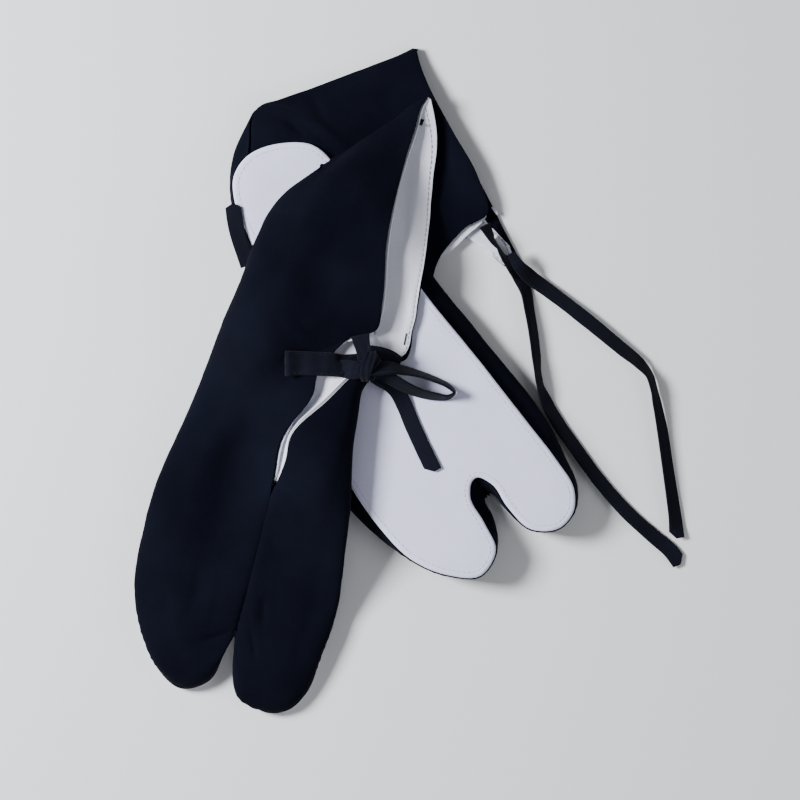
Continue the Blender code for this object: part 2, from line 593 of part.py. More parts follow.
def main():
    clear_scene()
    collection = bpy.data.collections.new(COLLECTION)
    bpy.context.scene.collection.children.link(collection)

    left = Sock("left", LEFT_HEEL, LEFT_HEADING)
    right = Sock("right", RIGHT_HEEL, RIGHT_HEADING, RIGHT_OUTER_LOBE, RIGHT_INNER_LOBE, make_rest(left))
    panels = {
        "left": {"outer": LEFT_OUTER, "inner": LEFT_INNER},
        "right": {"outer": RIGHT_OUTER, "inner": RIGHT_INNER},
    }
    above_sole = SEAM_GAP + WALL / 2
    left_start = LEFT_THICK - SOLE_WALL - above_sole
    grids = {
        "left": add_sock(left, panels["left"], LEFT_SHARES, {"outer": LEFT_OUTER_BENDS}, left_start,
                         collection),
        "right": add_sock(right, panels["right"], RIGHT_SHARES, {}, SOLE_WALL + above_sole, collection),
    }
    add_sole(left, LEFT_THICK - SOLE_WALL / 2, collection)
    add_sole(right, SOLE_WALL / 2, collection)
    socks = {"left": left, "right": right}
    inward = {("left", "outer"): 1, ("left", "inner"): -1, ("right", "outer"): -1, ("right", "inner"): 1}
    for name, side, first, last, column in FACINGS:
        add_facing(socks[name], side, grids[name][side], panels[name][side], first, last, column,
                   inward[name, side], collection)

    add_tape("left_inner_tie", LEFT_INNER_TIE, collection, Ground(collection.objects))
    add_tape("left_outer_tie", LEFT_OUTER_TIE, collection, Ground(collection.objects))
    add_tape("right_band", BAND, collection, Ground(collection.objects), BAND_WIDTHS)
    add_knot(collection)
    for name, rows in (
        ("right_shaft_tie", SHAFT_TIE),
        ("right_mouth_tie", MOUTH_TIE),
        ("right_bow_loop", BOW_LOOP),
        ("right_bow_end", BOW_END),
        ("right_heel_tie", HEEL_TIE),
    ):
        add_tape(name, rows, collection)
    for item in collection.objects:
        item.data.transform(Matrix.Translation((-MIDDLE[0] * MM, -MIDDLE[1] * MM, 0.0)))


main()
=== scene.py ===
# %% [markdown]
# A pair of split-toe tie socks (himo tabi), one laid over the other
#
# The real socks are cut from a few flat pieces: a white sole with a toe split, two dark twill
# uppers that meet in a seam over the foot and up the heel, white facings inside the mouth and
# the front slit, and flat tapes that tie round the ankle.  This lesson makes each sewn piece
# in that order.  All lengths below are millimetres until the last moment, because cloth walls,
# stitches and tapes are easiest to think of in that unit.

# %% Load the frame
import math

import bmesh
import bpy
import numpy as np
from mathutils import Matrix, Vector, noise
from mathutils.bvhtree import BVHTree


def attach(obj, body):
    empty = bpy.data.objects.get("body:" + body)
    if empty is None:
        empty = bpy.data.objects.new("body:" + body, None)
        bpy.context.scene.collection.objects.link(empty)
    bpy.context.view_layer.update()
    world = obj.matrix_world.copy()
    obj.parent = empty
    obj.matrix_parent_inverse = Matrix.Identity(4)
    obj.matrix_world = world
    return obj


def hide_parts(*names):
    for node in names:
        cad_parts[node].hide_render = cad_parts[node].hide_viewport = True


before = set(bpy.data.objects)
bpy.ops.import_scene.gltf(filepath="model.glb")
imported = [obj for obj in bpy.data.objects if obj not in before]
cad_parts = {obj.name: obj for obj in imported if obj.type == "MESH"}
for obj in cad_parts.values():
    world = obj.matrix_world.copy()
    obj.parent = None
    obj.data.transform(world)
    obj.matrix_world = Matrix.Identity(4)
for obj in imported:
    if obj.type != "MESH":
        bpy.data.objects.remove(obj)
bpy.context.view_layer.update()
MM = 0.001
BODY = "root"

# %% [markdown]
# The camera
#
# Clothes laid flat are seen from straight above.  A very long lens far away keeps the raised
# ankle and the floor at nearly one scale.

# %% Camera
VIEW_CENTRE = (23.6, -9.8)      # the middle of the view on the floor
VIEW_WIDTH = 432.0              # what the square view takes in
LENS = 400.0
SENSOR = 36.0
VIEW_PLANE = 20.0               # the height at which the view is that wide

camera_data = bpy.data.cameras.new("Overhead camera")
camera_data.lens = LENS
camera_data.sensor_width = SENSOR
camera_height = VIEW_WIDTH * LENS / SENSOR + VIEW_PLANE
camera = bpy.data.objects.new("Overhead camera", camera_data)
camera.location = (VIEW_CENTRE[0] * MM, VIEW_CENTRE[1] * MM, camera_height * MM)
camera_data.clip_end = 3 * camera_height * MM
bpy.context.scene.collection.objects.link(camera)
bpy.context.scene.camera = camera
print("camera height in metres:", round(camera_height * MM, 2))

# %% [markdown]
# Smooth curves through chosen points
#
# Both cloth and tape are drawn from a short list of points with a smooth curve through them.
# The same helper takes single points or whole rows of points, so that a surface is a curve of
# curves.  Its tangents allow for uneven spacing, which stops the curve from looping where two
# points lie close together.

# %% Curve helper
def curve_through(points, steps):
    """A smooth curve through the first axis of points, with steps stretches in each span."""
    points = np.asarray(points, float)
    span = np.maximum(np.linalg.norm(np.diff(points, axis=0), axis=-1, keepdims=True), 1e-6)
    slope = np.diff(points, axis=0) / span
    middle = (slope[:-1] * span[1:] + slope[1:] * span[:-1]) / (span[:-1] + span[1:])
    tangent = np.concatenate([slope[:1], middle, slope[-1:]])
    curve = []
    for step in range(steps):
        t = step / steps
        start = points[:-1] * (1 + 2 * t) * (1 - t) ** 2 + tangent[:-1] * span * t * (1 - t) ** 2
        end = points[1:] * t * t * (3 - 2 * t) - tangent[1:] * span * t * t * (1 - t)
        curve.append(start + end)
    woven = np.stack(curve, axis=1).reshape(-1, *points.shape[1:])
    return np.concatenate([woven, points[-1:]])


def smooth(value):
    """0 to 1 with level ends."""
    value = np.clip(value, 0.0, 1.0)
    return value * value * (3.0 - 2.0 * value)


def unit(vectors):
    """The same directions with length 1."""
    return vectors / np.maximum(np.linalg.norm(vectors, axis=-1, keepdims=True), 1e-9)


def hump(gap, half):
    """1 where the gap is nothing, and falling away over about its half width."""
    return np.exp(-((gap / half) ** 2))


def run_along(line):
    """Distance along a line of points, from 0 at its first one."""
    return np.concatenate([[0.0], np.cumsum(np.linalg.norm(np.diff(line, axis=0), axis=1))])


def values_at(places, run, values):
    """Rows of values read off at some places of their run."""
    return np.column_stack([np.interp(places, run, column) for column in values.T])


# %% [markdown]
# Making pieces
#
# Every sewn piece below ends in the same few steps: points and faces become a mesh, a sheet
# gets its wall and its rounded folds, and the piece takes the place of its solid.

# %% Mesh helpers
def make_piece(name, points, faces, material):
    """A mesh piece from points in millimetres."""
    mesh = bpy.data.meshes.new(name)
    mesh.from_pydata((np.asarray(points).reshape(-1, 3) * MM).tolist(), [], faces)
    mesh.shade_smooth()
    mesh.materials.append(material)
    piece = bpy.data.objects.new(name.replace(" ", "_"), mesh)
    bpy.context.scene.collection.objects.link(piece)
    return piece


def grid_faces(rows, columns, closed=False):
    """Quads over a grid of points, closed round its columns if asked."""
    faces = []
    for start in range(0, (rows - 1) * columns, columns):
        for j in range(columns if closed else columns - 1):
            a, b = start + j, start + (j + 1) % columns
            faces.append((a, b, b + columns, a + columns))
    return faces


def tube_faces(rings, sides):
    """Faces round a tube of rings, and over both its ends."""
    last = (rings - 1) * sides
    ends = [tuple(reversed(range(sides))), tuple(range(last, last + sides))]
    return grid_faces(rings, sides, closed=True) + ends


def add_mesh(points, faces, more_points, more_faces):
    """Adds one more mesh to lists of points and faces."""
    faces += [[i + len(points) for i in face] for face in more_faces]
    points += list(more_points)


def thicken(piece, wall, fold=None, lined=False):
    """Gives a sheet its wall, half to each side, and rounds its edges if it has a fold's size."""
    shell = piece.modifiers.new("Cloth", "SOLIDIFY")
    shell.thickness = wall * MM
    shell.offset = 0.0
    if lined:
        shell.material_offset = 1
        shell.material_offset_rim = 0
    if fold:
        edge = piece.modifiers.new("Folded edge", "BEVEL")
        edge.width = fold * MM
        edge.segments = 2
        edge.limit_method = "ANGLE"
        edge.angle_limit = math.radians(60)
    solid = piece.evaluated_get(bpy.context.evaluated_depsgraph_get())
    mesh = bpy.data.meshes.new_from_object(solid)
    piece.modifiers.clear()
    piece.data = mesh


def join_part(piece, node, replaces=True):
    """Lets a piece ride with the part and, unless told, take the place of its solid."""
    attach(piece, BODY)
    if replaces:
        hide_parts(node)

# %% [markdown]
# Shader groups that the cloths share
#
# Twill shows fine diagonal ribs, plain cotton shows a tiny square weave, and all cloth has a
# faint cloudiness where it has been handled and washed.  Each of these is a node group with
# named inputs, so that every cloth can use it with its own values.  The weave is worked out
# from the object's own coordinates in three directions at once, which gives diagonal ribs on
# level and on upright cloth alike.

# %% Group helper
def new_group(name, inputs, outputs):
    """A shader node group with float inputs and its input and output nodes."""
    group = bpy.data.node_groups.new(name, "ShaderNodeTree")
    for title, value in inputs.items():
        socket = group.interface.new_socket(title, in_out="INPUT", socket_type="NodeSocketFloat")
        socket.default_value = value
    for title in outputs:
        group.interface.new_socket(title, in_out="OUTPUT", socket_type="NodeSocketFloat")
    return group, group.nodes.new("NodeGroupInput"), group.nodes.new("NodeGroupOutput")


def set_inputs(node, values):
    """Sets a node's inputs by name."""
    for title, value in values.items():
        node.inputs[title].default_value = value


def math_node(tree, operation, *values):
    """A Math node whose inputs are sockets or numbers.  Returns its output."""
    node = tree.nodes.new("ShaderNodeMath")
    node.operation = operation
    for socket, value in zip(node.inputs, values):
        if isinstance(value, (int, float)):
            socket.default_value = value
        else:
            tree.links.new(value, socket)
    return node.outputs[0]


def noise_node(tree, coordinates, scale, detail):
    """Soft noise over some coordinates.  Returns its value, from 0 to 1."""
    node = tree.nodes.new("ShaderNodeTexNoise")
    set_inputs(node, {"Scale": scale, "Detail": detail, "Roughness": 0.5})
    tree.links.new(coordinates, node.inputs["Vector"])
    return node.outputs["Fac"]


# %% Weave group
THREAD_FINENESS = 1.7           # cross threads for each rib


def build_weave_group():
    """Ribs along one diagonal, cut by finer threads along the other."""
    knobs = {"Ribs per metre": 1300.0, "Cross threads": 0.5}
    group, given, made = new_group("Cloth weave", knobs, ["Height"])
    place = group.nodes.new("ShaderNodeTexCoord").outputs["Object"]
    split = group.nodes.new("ShaderNodeSeparateXYZ")
    group.links.new(place, split.inputs[0])
    x, y, z = split.outputs
    along = math_node(group, "ADD", math_node(group, "ADD", x, y), z)
    across = math_node(group, "ADD", math_node(group, "SUBTRACT", x, y), z)
    per_metre = math_node(group, "MULTIPLY", given.outputs["Ribs per metre"], 2 * math.pi)
    rib = math_node(group, "SINE", math_node(group, "MULTIPLY", along, per_metre))
    finer = math_node(group, "MULTIPLY", per_metre, THREAD_FINENESS)
    thread = math_node(group, "SINE", math_node(group, "MULTIPLY", across, finer))
    thread = math_node(group, "MULTIPLY", thread, given.outputs["Cross threads"])
    height = math_node(group, "ADD", rib, thread)
    group.links.new(math_node(group, "MULTIPLY_ADD", height, 0.25, 0.5), made.inputs["Height"])
    return group


weave_group = build_weave_group()
print("group:", weave_group.name)


# %% Cloudiness group
CLOUDS = {"Broad": (28.0, 3.0), "Fine": (420.0, 2.0)}       # scale for each metre, and detail


def build_cloud_group():
    """Broad and fine variation, each from 0 to 1."""
    group, given, made = new_group("Cloth clouds", {"Contrast": 1.0}, list(CLOUDS))
    place = group.nodes.new("ShaderNodeTexCoord").outputs["Object"]
    for title, (scale, detail) in CLOUDS.items():
        value = noise_node(group, place, scale, detail)
        centred = math_node(group, "SUBTRACT", value, 0.5)
        spread = math_node(group, "MULTIPLY", centred, given.outputs["Contrast"])
        above = math_node(group, "MAXIMUM", math_node(group, "ADD", spread, 0.5), 0.0)
        group.links.new(math_node(group, "MINIMUM", above, 1.0), made.inputs[title])
    return group


cloud_group = build_cloud_group()
print("group:", cloud_group.name)

# %% [markdown]
# The cloths
#
# Indigo-black twill drinks nearly all light, so its colour is close to black with a blue cast,
# its roughness is high and a little sheen lifts the folds.  The sole and the facings are white
# cotton, very slightly lavender.  Each cloth is a Principled shader whose colour, roughness and
# bump come from the groups above.

# %% Cloth material
CLOUD_CONTRAST = 2.2
BROAD_SHARE, FINE_SHARE, WEAVE_SHARE = 0.6, 0.2, 0.2        # what turns dark cloth to light
ROUGH_SPREAD = 0.08             # how much rougher the cloth is where it is fluffed
FLUFF_HEIGHT = 0.4              # height of that fluff next to the weave's


def place_group(tree, group, values):
    """One use of a shader group, with its own values."""
    node = tree.nodes.new("ShaderNodeGroup")
    node.node_tree = group
    set_inputs(node, values)
    return node


def cloth_material(name, dark, light, roughness, ribs, threads, depth, sheen, shine):
    """A woven cloth between two colours, with its weave as bump."""
    made = bpy.data.materials.new(name)
    made.use_nodes = True
    tree = made.node_tree
    shader = tree.nodes["Principled BSDF"]
    set_inputs(shader, {"Metallic": 0.0, "Specular IOR Level": shine,
                        "Sheen Weight": sheen, "Sheen Roughness": 0.5})
    weave = place_group(tree, weave_group, {"Ribs per metre": ribs, "Cross threads": threads})
    clouds = place_group(tree, cloud_group, {"Contrast": CLOUD_CONTRAST})
    broad, fine = clouds.outputs["Broad"], clouds.outputs["Fine"]
    shade = math_node(tree, "MULTIPLY", broad, BROAD_SHARE)
    shade = math_node(tree, "MULTIPLY_ADD", fine, FINE_SHARE, shade)
    shade = math_node(tree, "MULTIPLY_ADD", weave.outputs["Height"], WEAVE_SHARE, shade)
    mix = tree.nodes.new("ShaderNodeMix")
    mix.data_type = "RGBA"
    set_inputs(mix, {"A": (*dark, 1.0), "B": (*light, 1.0)})
    tree.links.new(shade, mix.inputs["Factor"])
    tree.links.new(mix.outputs["Result"], shader.inputs["Base Color"])
    rough = math_node(tree, "MULTIPLY_ADD", fine, ROUGH_SPREAD, roughness)
    tree.links.new(rough, shader.inputs["Roughness"])
    bump = tree.nodes.new("ShaderNodeBump")
    set_inputs(bump, {"Strength": 0.5, "Distance": depth * MM})
    height = math_node(tree, "MULTIPLY_ADD", fine, FLUFF_HEIGHT, weave.outputs["Height"])
    tree.links.new(height, bump.inputs["Height"])
    tree.links.new(bump.outputs["Normal"], shader.inputs["Normal"])
    return made


# %% The cloths by name
CLOTHS = {      # dark and light tone; roughness, ribs per metre, threads, depth, sheen, shine
    "Navy twill": ((0.0008, 0.0011, 0.0036), (0.0036, 0.0045, 0.0108),
                   0.86, 1300.0, 0.5, 0.10, 0.012, 0.045),
    "Navy tape": ((0.0014, 0.0018, 0.0048), (0.0062, 0.0072, 0.0150),
                  0.82, 1600.0, 0.8, 0.08, 0.035, 0.08),
    "White sole cotton": ((0.660, 0.665, 0.860), (0.760, 0.765, 0.965),
                          0.88, 900.0, 0.9, 0.12, 0.05, 0.08),
    "White facing cotton": ((0.700, 0.710, 0.800), (0.820, 0.825, 0.920),
                            0.88, 1500.0, 1.0, 0.06, 0.05, 0.08),
    "Navy thread": ((0.004, 0.005, 0.010), (0.010, 0.012, 0.022),
                    0.7, 4000.0, 0.2, 0.05, 0.05, 0.08),
    "Grey thread": ((0.260, 0.262, 0.320), (0.360, 0.360, 0.430),
                    0.75, 4000.0, 0.2, 0.05, 0.0, 0.08),
    "White sole thread": ((0.560, 0.560, 0.660), (0.660, 0.655, 0.760),
                          0.8, 4000.0, 0.2, 0.05, 0.0, 0.08),
}
twill, tape_twill, sole_cotton, facing_cotton, dark_thread, grey_thread, sole_thread = [
    cloth_material(name, *look) for name, look in CLOTHS.items()]
print("cloths:", list(CLOTHS))

# %% [markdown]
# The free tapes
#
# Each tape is a folded strip of twill about 8.6 mm wide, stitched along its open edge.  Its
# route is a given list of places on the floor with the tape's turn about its own run:
# 0 lies flat and 90 stands on edge.  Tape that isn't pressed rolls to and fro as it lies, and
# those turns are what make it look like cloth.  The loose ties take their height from the
# solid that stands for them; the bow and the short ties have their own heights.

# %% Tape routes
TAPE_WIDTH = 8.6
TAPE_WALL = 1.2
TAPE_STEP = 1.4                 # length of one stretch of mesh
TAPE_CLEAR = 0.2                # least height of a tape's lower edge over the surface
MIDDLE = (0.26, -0.68)          # what the frame's origin is in these routes

LEFT_INNER_TIE = (
    (69.6, 84.2, 44), (73.6, 77.0, 66), (77.2, 72.0, 84), (80.0, 67.2, 70), (84.4, 61.8, 46),
    (89.0, 55.4, 34), (92.1, 48.2, 46), (94.0, 38.1, 54), (95.8, 28.0, 56), (97.6, 14.0, 58),
    (98.7, 3.0, 68), (99.9, -3.0, 66), (103.0, -11.0, 44), (109.2, -22.4, 38), (118.9, -36.4, 36),
    (132.2, -54.6, 34), (148.0, -72.4, 30), (161.8, -84.8, 24), (170.8, -92.6, 14),
    (176.0, -99.6, 6),
)
LEFT_OUTER_TIE = (
    (84.0, 69.0, 0), (88.0, 62.4, 8), (94.6, 56.0, 20), (104.6, 48.6, 27), (115.7, 40.2, 29),
    (128.8, 29.8, 29), (144.3, 17.0, 35), (153.6, 9.4, 46), (158.8, 3.4, 64), (161.4, -4.4, 66),
    (163.0, -11.6, 58), (166.0, -26.8, 48), (168.4, -43.0, 46), (170.8, -59.2, 42),
    (173.0, -74.6, 34), (174.0, -85.6, 20),
)
OUTER_TIE_WIDTHS = (4.6, 6.6) + (TAPE_WIDTH,) * 14
HEEL_TIE = (
    (-66.4, 95.8, 0, 20.95), (-65.4, 87.0, 0, 20.95), (-62.8, 76.0, 0, 20.95),
    (-59.6, 66.8, 0, 20.95), (-58.0, 62.0, 0, 20.95),
)
BAND = (
    (-37.8, 9.2, 0), (-29.0, 9.2, 0), (-22.0, 9.0, 0), (-15.0, 8.7, 0),
    (-9.0, 8.6, 2), (-5.0, 10.2, 8), (-1.2, 11.8, 12), (2.4, 12.0, 14),
)
BAND_WIDTHS = (13.6, 13.0, 12.8, 12.8, 12.6, 8.8, 5.4, 5.0)
SHAFT_TIE = (
    (5.0, 11.0, 0, 40.4), (4.6, 14.2, 0, 38.4), (3.9, 17.4, 0, 37.0), (3.1, 20.8, 0, 36.0),
    (2.4, 24.5, 0, 35.2),
)
SHAFT_WIDTHS = (8.0, 8.0, 8.2, 9.2, 10.2)
MOUTH_TIE = (
    (24.2, 10.0, 8, 27.9), (20.4, 11.9, 8, 29.6), (16.2, 13.0, 8, 32.8), (12.0, 13.9, 8, 36.0),
    (6.4, 14.9, 4, 39.4),
)
MOUTH_WIDTHS = (5.6, 7.2, 8.6, 9.0, 8.6)
BOW_LOOP = (
    (8.4, 7.0, 14, 41.0), (12.8, 6.8, 24, 39.6), (18.5, 6.9, 40, 37.2), (26.0, 5.6, 58, 31.4),
    (34.7, 3.4, 70, 26.6), (43.4, 0.2, 74, 25.0), (50.0, -3.1, 78, 25.0), (53.2, -6.6, 84, 25.0),
    (50.6, -8.7, 78, 25.0), (43.4, -8.6, 64, 25.0), (34.7, -6.8, 58, 25.2),
    (26.6, -3.4, 50, 29.4), (19.0, 0.9, 40, 34.0), (12.9, 4.5, 30, 37.0), (8.4, 5.2, 16, 39.4),
)
BOW_END = (
    (9.6, 3.0, 20, 34.0), (13.6, 0.4, 20, 30.8), (18.6, -2.4, 16, 27.2), (22.8, -6.8, 10, 23.9),
    (26.2, -13.2, 2, 21.5), (29.9, -22.4, 0, 20.95), (35.0, -33.8, 0, 20.95),
    (39.4, -43.0, 0, 20.95), (42.4, -49.2, 0, 20.95),
)


# %% From a route to a tape's line
SOFTEN = 3                      # neighbours on each side that even out a tape's heights


def mesh_tree(mesh):
    """Ray casting onto a mesh."""
    points = [vertex.co[:] for vertex in mesh.vertices]
    return BVHTree.FromPolygons(points, [face.vertices[:] for face in mesh.polygons])


def top_of(tree, x, y):
    """The height of a mesh over one spot, in millimetres, or None."""
    hit = tree.ray_cast(Vector((x * MM, y * MM, 0.3)), Vector((0.0, 0.0, -1.0)))[0]
    return None if hit is None else hit.z / MM


def tape_route(rows, node, widths=None):
    """Points along the tape's middle, its turns and its widths, evenly and closely spaced."""
    length = sum(math.dist(a[:2], b[:2]) for a, b in zip(rows, rows[1:]))
    steps = max(2, round(length / (len(rows) - 1) / TAPE_STEP))
    turns = np.radians(curve_through([(i, row[2]) for i, row in enumerate(rows)], steps)[:, 1])
    given = widths or (TAPE_WIDTH,) * len(rows)
    wide = curve_through(list(enumerate(given)), steps)[:, 1]
    if len(rows[0]) == 4:
        spots = curve_through([(row[0], row[1], row[3]) for row in rows], steps)
        spots[:, :2] -= MIDDLE
        return spots, turns, wide
    plan = curve_through([row[:2] for row in rows], steps) - MIDDLE
    tree = mesh_tree(bpy.data.objects[node].data)
    heights = [top_of(tree, x, y) for x, y in plan]
    known = [i for i, height in enumerate(heights) if height is not None]
    heights = np.interp(range(len(plan)), known, [heights[i] for i in known])
    heights -= TAPE_WALL / 2 / np.cos(turns)
    lowest = (wide * np.sin(turns) + TAPE_WALL * np.cos(turns)) / 2 + TAPE_CLEAR
    heights = np.maximum(heights, lowest)
    window = np.ones(2 * SOFTEN + 1) / (2 * SOFTEN + 1)
    soft = np.convolve(np.pad(heights, SOFTEN, mode="edge"), window, mode="valid")
    return np.column_stack([plan, soft]), turns, wide


# %% Tape maker
# The tape's cross-section, once round: over its width and its thickness, with round edges
TOP_SIDES = [(side, 0.5) for side in np.linspace(-0.45, 0.45, 11)]
SECTION = ([(-0.5, 0.0), (-0.485, 0.36)] + TOP_SIDES + [(0.485, 0.36), (0.5, 0.0), (0.485, -0.36)]
           + [(side, -depth) for side, depth in TOP_SIDES[::-1]] + [(-0.485, -0.36)])
EDGE_STITCH = 1.3               # from the tape's edge to its row of stitches
STITCH_DIP, STITCH_REACH = 0.22, 0.5        # how deep the stitches pull the tape in, how widely
CUT_RUN = 9.0                   # how far from its end a slanted cut is felt
RIPPLES = ((0.12, 0.16), (0.05, 0.5))       # unevenness of the width: how much, and how fine
RIDGE_COUNT, RIDGE_TURN = 13.0, 0.25        # ridges over the width, and how they slant


def tape_frames(spots, turns):
    """The directions along, over and through a tape at each of its points."""
    runs = unit(np.gradient(spots, axis=0))
    level = unit(np.cross(runs, (0.0, 0.0, 1.0)))
    up = np.cross(level, runs)
    over = level * np.cos(turns)[:, None] + up * np.sin(turns)[:, None]
    return runs, over, np.cross(over, runs)


def tape_mesh(spots, turns, wide, wall=TAPE_WALL, ridges=0.0, folds=(), cuts=(0.0, 0.0, 0.0, 0.0)):
    """Points and faces of a flat tape, and its frames.

    Ridges run along the tape and folds across it (distance, half width, lift).  The cuts say
    how far each corner is cut back: two at the start, then two at the end."""
    runs, over, thick = tape_frames(spots, turns)
    run = run_along(spots)
    points = []
    for i, spot in enumerate(spots):
        ripple = sum(height * noise.noise(Vector(spot * scale)) for height, scale in RIPPLES)
        fold = sum(lift * hump(run[i] - place, half) for place, half, lift in folds)
        for side, depth in SECTION:
            from_edge = (0.5 - abs(side)) * wide[i]
            dip = STITCH_DIP * hump(from_edge - EDGE_STITCH, STITCH_REACH) if side > 0 else 0.0
            lift = depth * wall - math.copysign(dip, depth) if depth else 0.0
            lift += fold + ridges * math.sin(RIDGE_COUNT * side + RIDGE_TURN * run[i])
            corner = 0 if side < 0 else 1
            back = (cuts[corner] * max(0.0, 1.0 - run[i] / CUT_RUN)
                    - cuts[2 + corner] * max(0.0, 1.0 - (run[-1] - run[i]) / CUT_RUN)) * 2 * abs(side)
            out = over[i] * (side * (wide[i] + 2 * ripple))
            points.append(spot + out + thick[i] * lift + runs[i] * back)
    # a face's first corner decides which way it is cut into triangles
    faces = [face[2:] + face[:2] for face in tube_faces(len(spots), len(SECTION))]
    return points, faces, (spots, wide, over, thick)


def make_tape(name, rows, node, widths=None, **shape):
    """A tape along its route, in the place of its solid."""
    points, faces, route = tape_mesh(*tape_route(rows, node, widths), **shape)
    piece = make_piece(name, points, faces, tape_twill)
    join_part(piece, node)
    return piece, route

# %% [markdown]
# Stitches
#
# A row of machine stitches is a chain of short threads that dive into the cloth at both ends.
# One helper makes a whole row as a single piece: it walks along a line of points, and for each
# stitch it bends a thin six-sided thread up out of the cloth and down again.

# %% Stitch maker
STITCH_LENGTH = 2.3
STITCH_GAP = 0.55
THREAD = 0.36                   # thread thickness
THREAD_SIDES = 6
STITCH_RINGS = ((0.0, -0.35), (0.12, 0.25), (0.5, 0.55), (0.88, 0.25), (1.0, -0.35))


def resample(line, normals, spacing):
    """Points and normals along a line at even distances."""
    run = run_along(line)
    places = np.arange(0.0, run[-1], spacing)
    return values_at(places, run, line), unit(values_at(places, run, normals))


def stitch_rows(name, lines, material, node):
    """One piece with a row of stitches along each (line, normals) pair."""
    points, faces = [], []
    for line, normals in lines:
        pitch = STITCH_LENGTH + STITCH_GAP
        spots, outs = resample(np.asarray(line), np.asarray(normals), pitch)
        for here, after, out in zip(spots, spots[1:], outs):
            run = (after - here) * (STITCH_LENGTH / pitch)
            side = unit(np.cross(out, run))
            stitch = []
            for share, rise in STITCH_RINGS:
                middle = here + run * share + out * (rise * THREAD)
                for k in range(THREAD_SIDES):
                    angle = 2 * math.pi * k / THREAD_SIDES
                    spread = side * math.cos(angle) + out * math.sin(angle) * 0.7
                    stitch.append(middle + spread * (THREAD / 2))
            add_mesh(points, faces, stitch, tube_faces(len(STITCH_RINGS), THREAD_SIDES))
    piece = make_piece(name, points, faces, material)
    join_part(piece, node, replaces=False)
    print(name, len(faces), "faces")
    return piece


def tape_stitches(name, node, route, shares=(0.5,)):
    """Stitches near a tape's edge, on both of its faces."""
    spots, wide, over, thick = (part[2:-2] for part in route)
    lines = []
    for share in shares:
        side = over * (share * (wide - 2 * EDGE_STITCH))[:, None]
        for face in (1.0, -1.0):
            lift = thick * (face * (TAPE_WALL / 2 - STITCH_DIP))
            lines.append((spots + side + lift, thick * face))
    return stitch_rows(name, lines, dark_thread, node)


# %% [markdown]
# The tapes in their places
#
# Two ties lie loose on the floor, and the bow is a loop and an end of the other sock's ties.
# The heel tie is only a short stretch that shows beside the heel.

# %% The four free tapes
def free_tape(name, rows, node, far_end, **shape):
    """A free tape with its stitches."""
    piece, route = make_tape(name, rows, node, **shape)
    stitches = tape_stitches(name + " stitches", node, route)


free_tape("Left inner tie", LEFT_INNER_TIE, "left_inner_tie", "bare", cuts=(0.0, 0.0, 4.0, 1.0))
free_tape("Left outer tie", LEFT_OUTER_TIE, "left_outer_tie", "bare", widths=OUTER_TIE_WIDTHS,
          cuts=(0.0, 0.0, 0.5, 4.2))
free_tape("Bow loop", BOW_LOOP, "right_bow_loop", "object")
free_tape("Bow end", BOW_END, "right_bow_end", "bare", cuts=(0.0, 0.0, 0.3, 3.8))

# %% The heel tie's end
def laid_tape(name, rows, node, shares=(0.5,), **shape):
    """A short stretch of tape that lies on other pieces, with its stitches."""
    route = make_tape(name, rows, node, **shape)[1]
    tape_stitches(name + " stitches", node, route, shares)
    print(name, "length", round(run_along(route[0])[-1]), "mm")


laid_tape("Heel tie", HEEL_TIE, "right_heel_tie", cuts=(2.6, 2.2, 0.0, 0.0))

# %% [markdown]
# Where each sock lies
#
# A sock has its own frame: "along" runs from heel to toes and "across" from the little-toe
# side to the big-toe side.  Turning that frame on the floor gives the left or the right sock.
# The lower sock lies sole up, so its uppers hang down from the sole to the floor.  The upper
# sock is draped: every height in its table is measured from what is under it there.

# %% Sock frames
RIGHT_HEEL, RIGHT_HEADING = (-31.2, 81.9), -98.0
LEFT_HEEL, LEFT_HEADING = (-57.1, 122.4), -56.0
WALL = 1.6                      # an upper's twill and lining
SOLE_WALL = 3.0                 # quilted cotton
FACING_WALL = 1.0
SEAM_GAP = 0.35
LEFT_THICK = 20.0               # the left foot, flattened, sole on top
LEFT_SHAFT = 8.6
REST_GAP = 0.45
DRAPE_START, DRAPE_RUN = 7.0, 46.0          # how the upper sock comes down to the floor
SHAFT_RUN, SHAFT_SIDE = 36.0, 20.0          # and down to the lower sock's shaft
LIFT_SPOT, LIFT_HEIGHT, LIFT_REACH = (-58.0, 64.0), 2.2, 20.0       # it rises over a fold here
NOTCH_ALONG, LOBE_LENGTH = 213.0, 45.0      # where the toe lobes begin, and how long they are
LOBES = {                       # how each toe lobe's tip lies: along, across
    ("right", "outer"): (-4.0, -4.5),
    ("right", "inner"): (0.0, -6.0),
}


def sock_axes(sock):
    """Where a sock's heel is, and its along and across directions on the floor."""
    heel, heading = (RIGHT_HEEL, RIGHT_HEADING) if sock == "right" else (LEFT_HEEL, LEFT_HEADING)
    toes = np.array([math.cos(math.radians(heading)), math.sin(math.radians(heading))])
    return np.array(heel) - MIDDLE, toes, np.array([-toes[1], toes[0]])

# %% [markdown]
# The sole's outline
#
# One table serves all four toes and both heels: the edge from the heel down each side to the
# toe split.  It is the pattern piece that a tabi maker would cut.

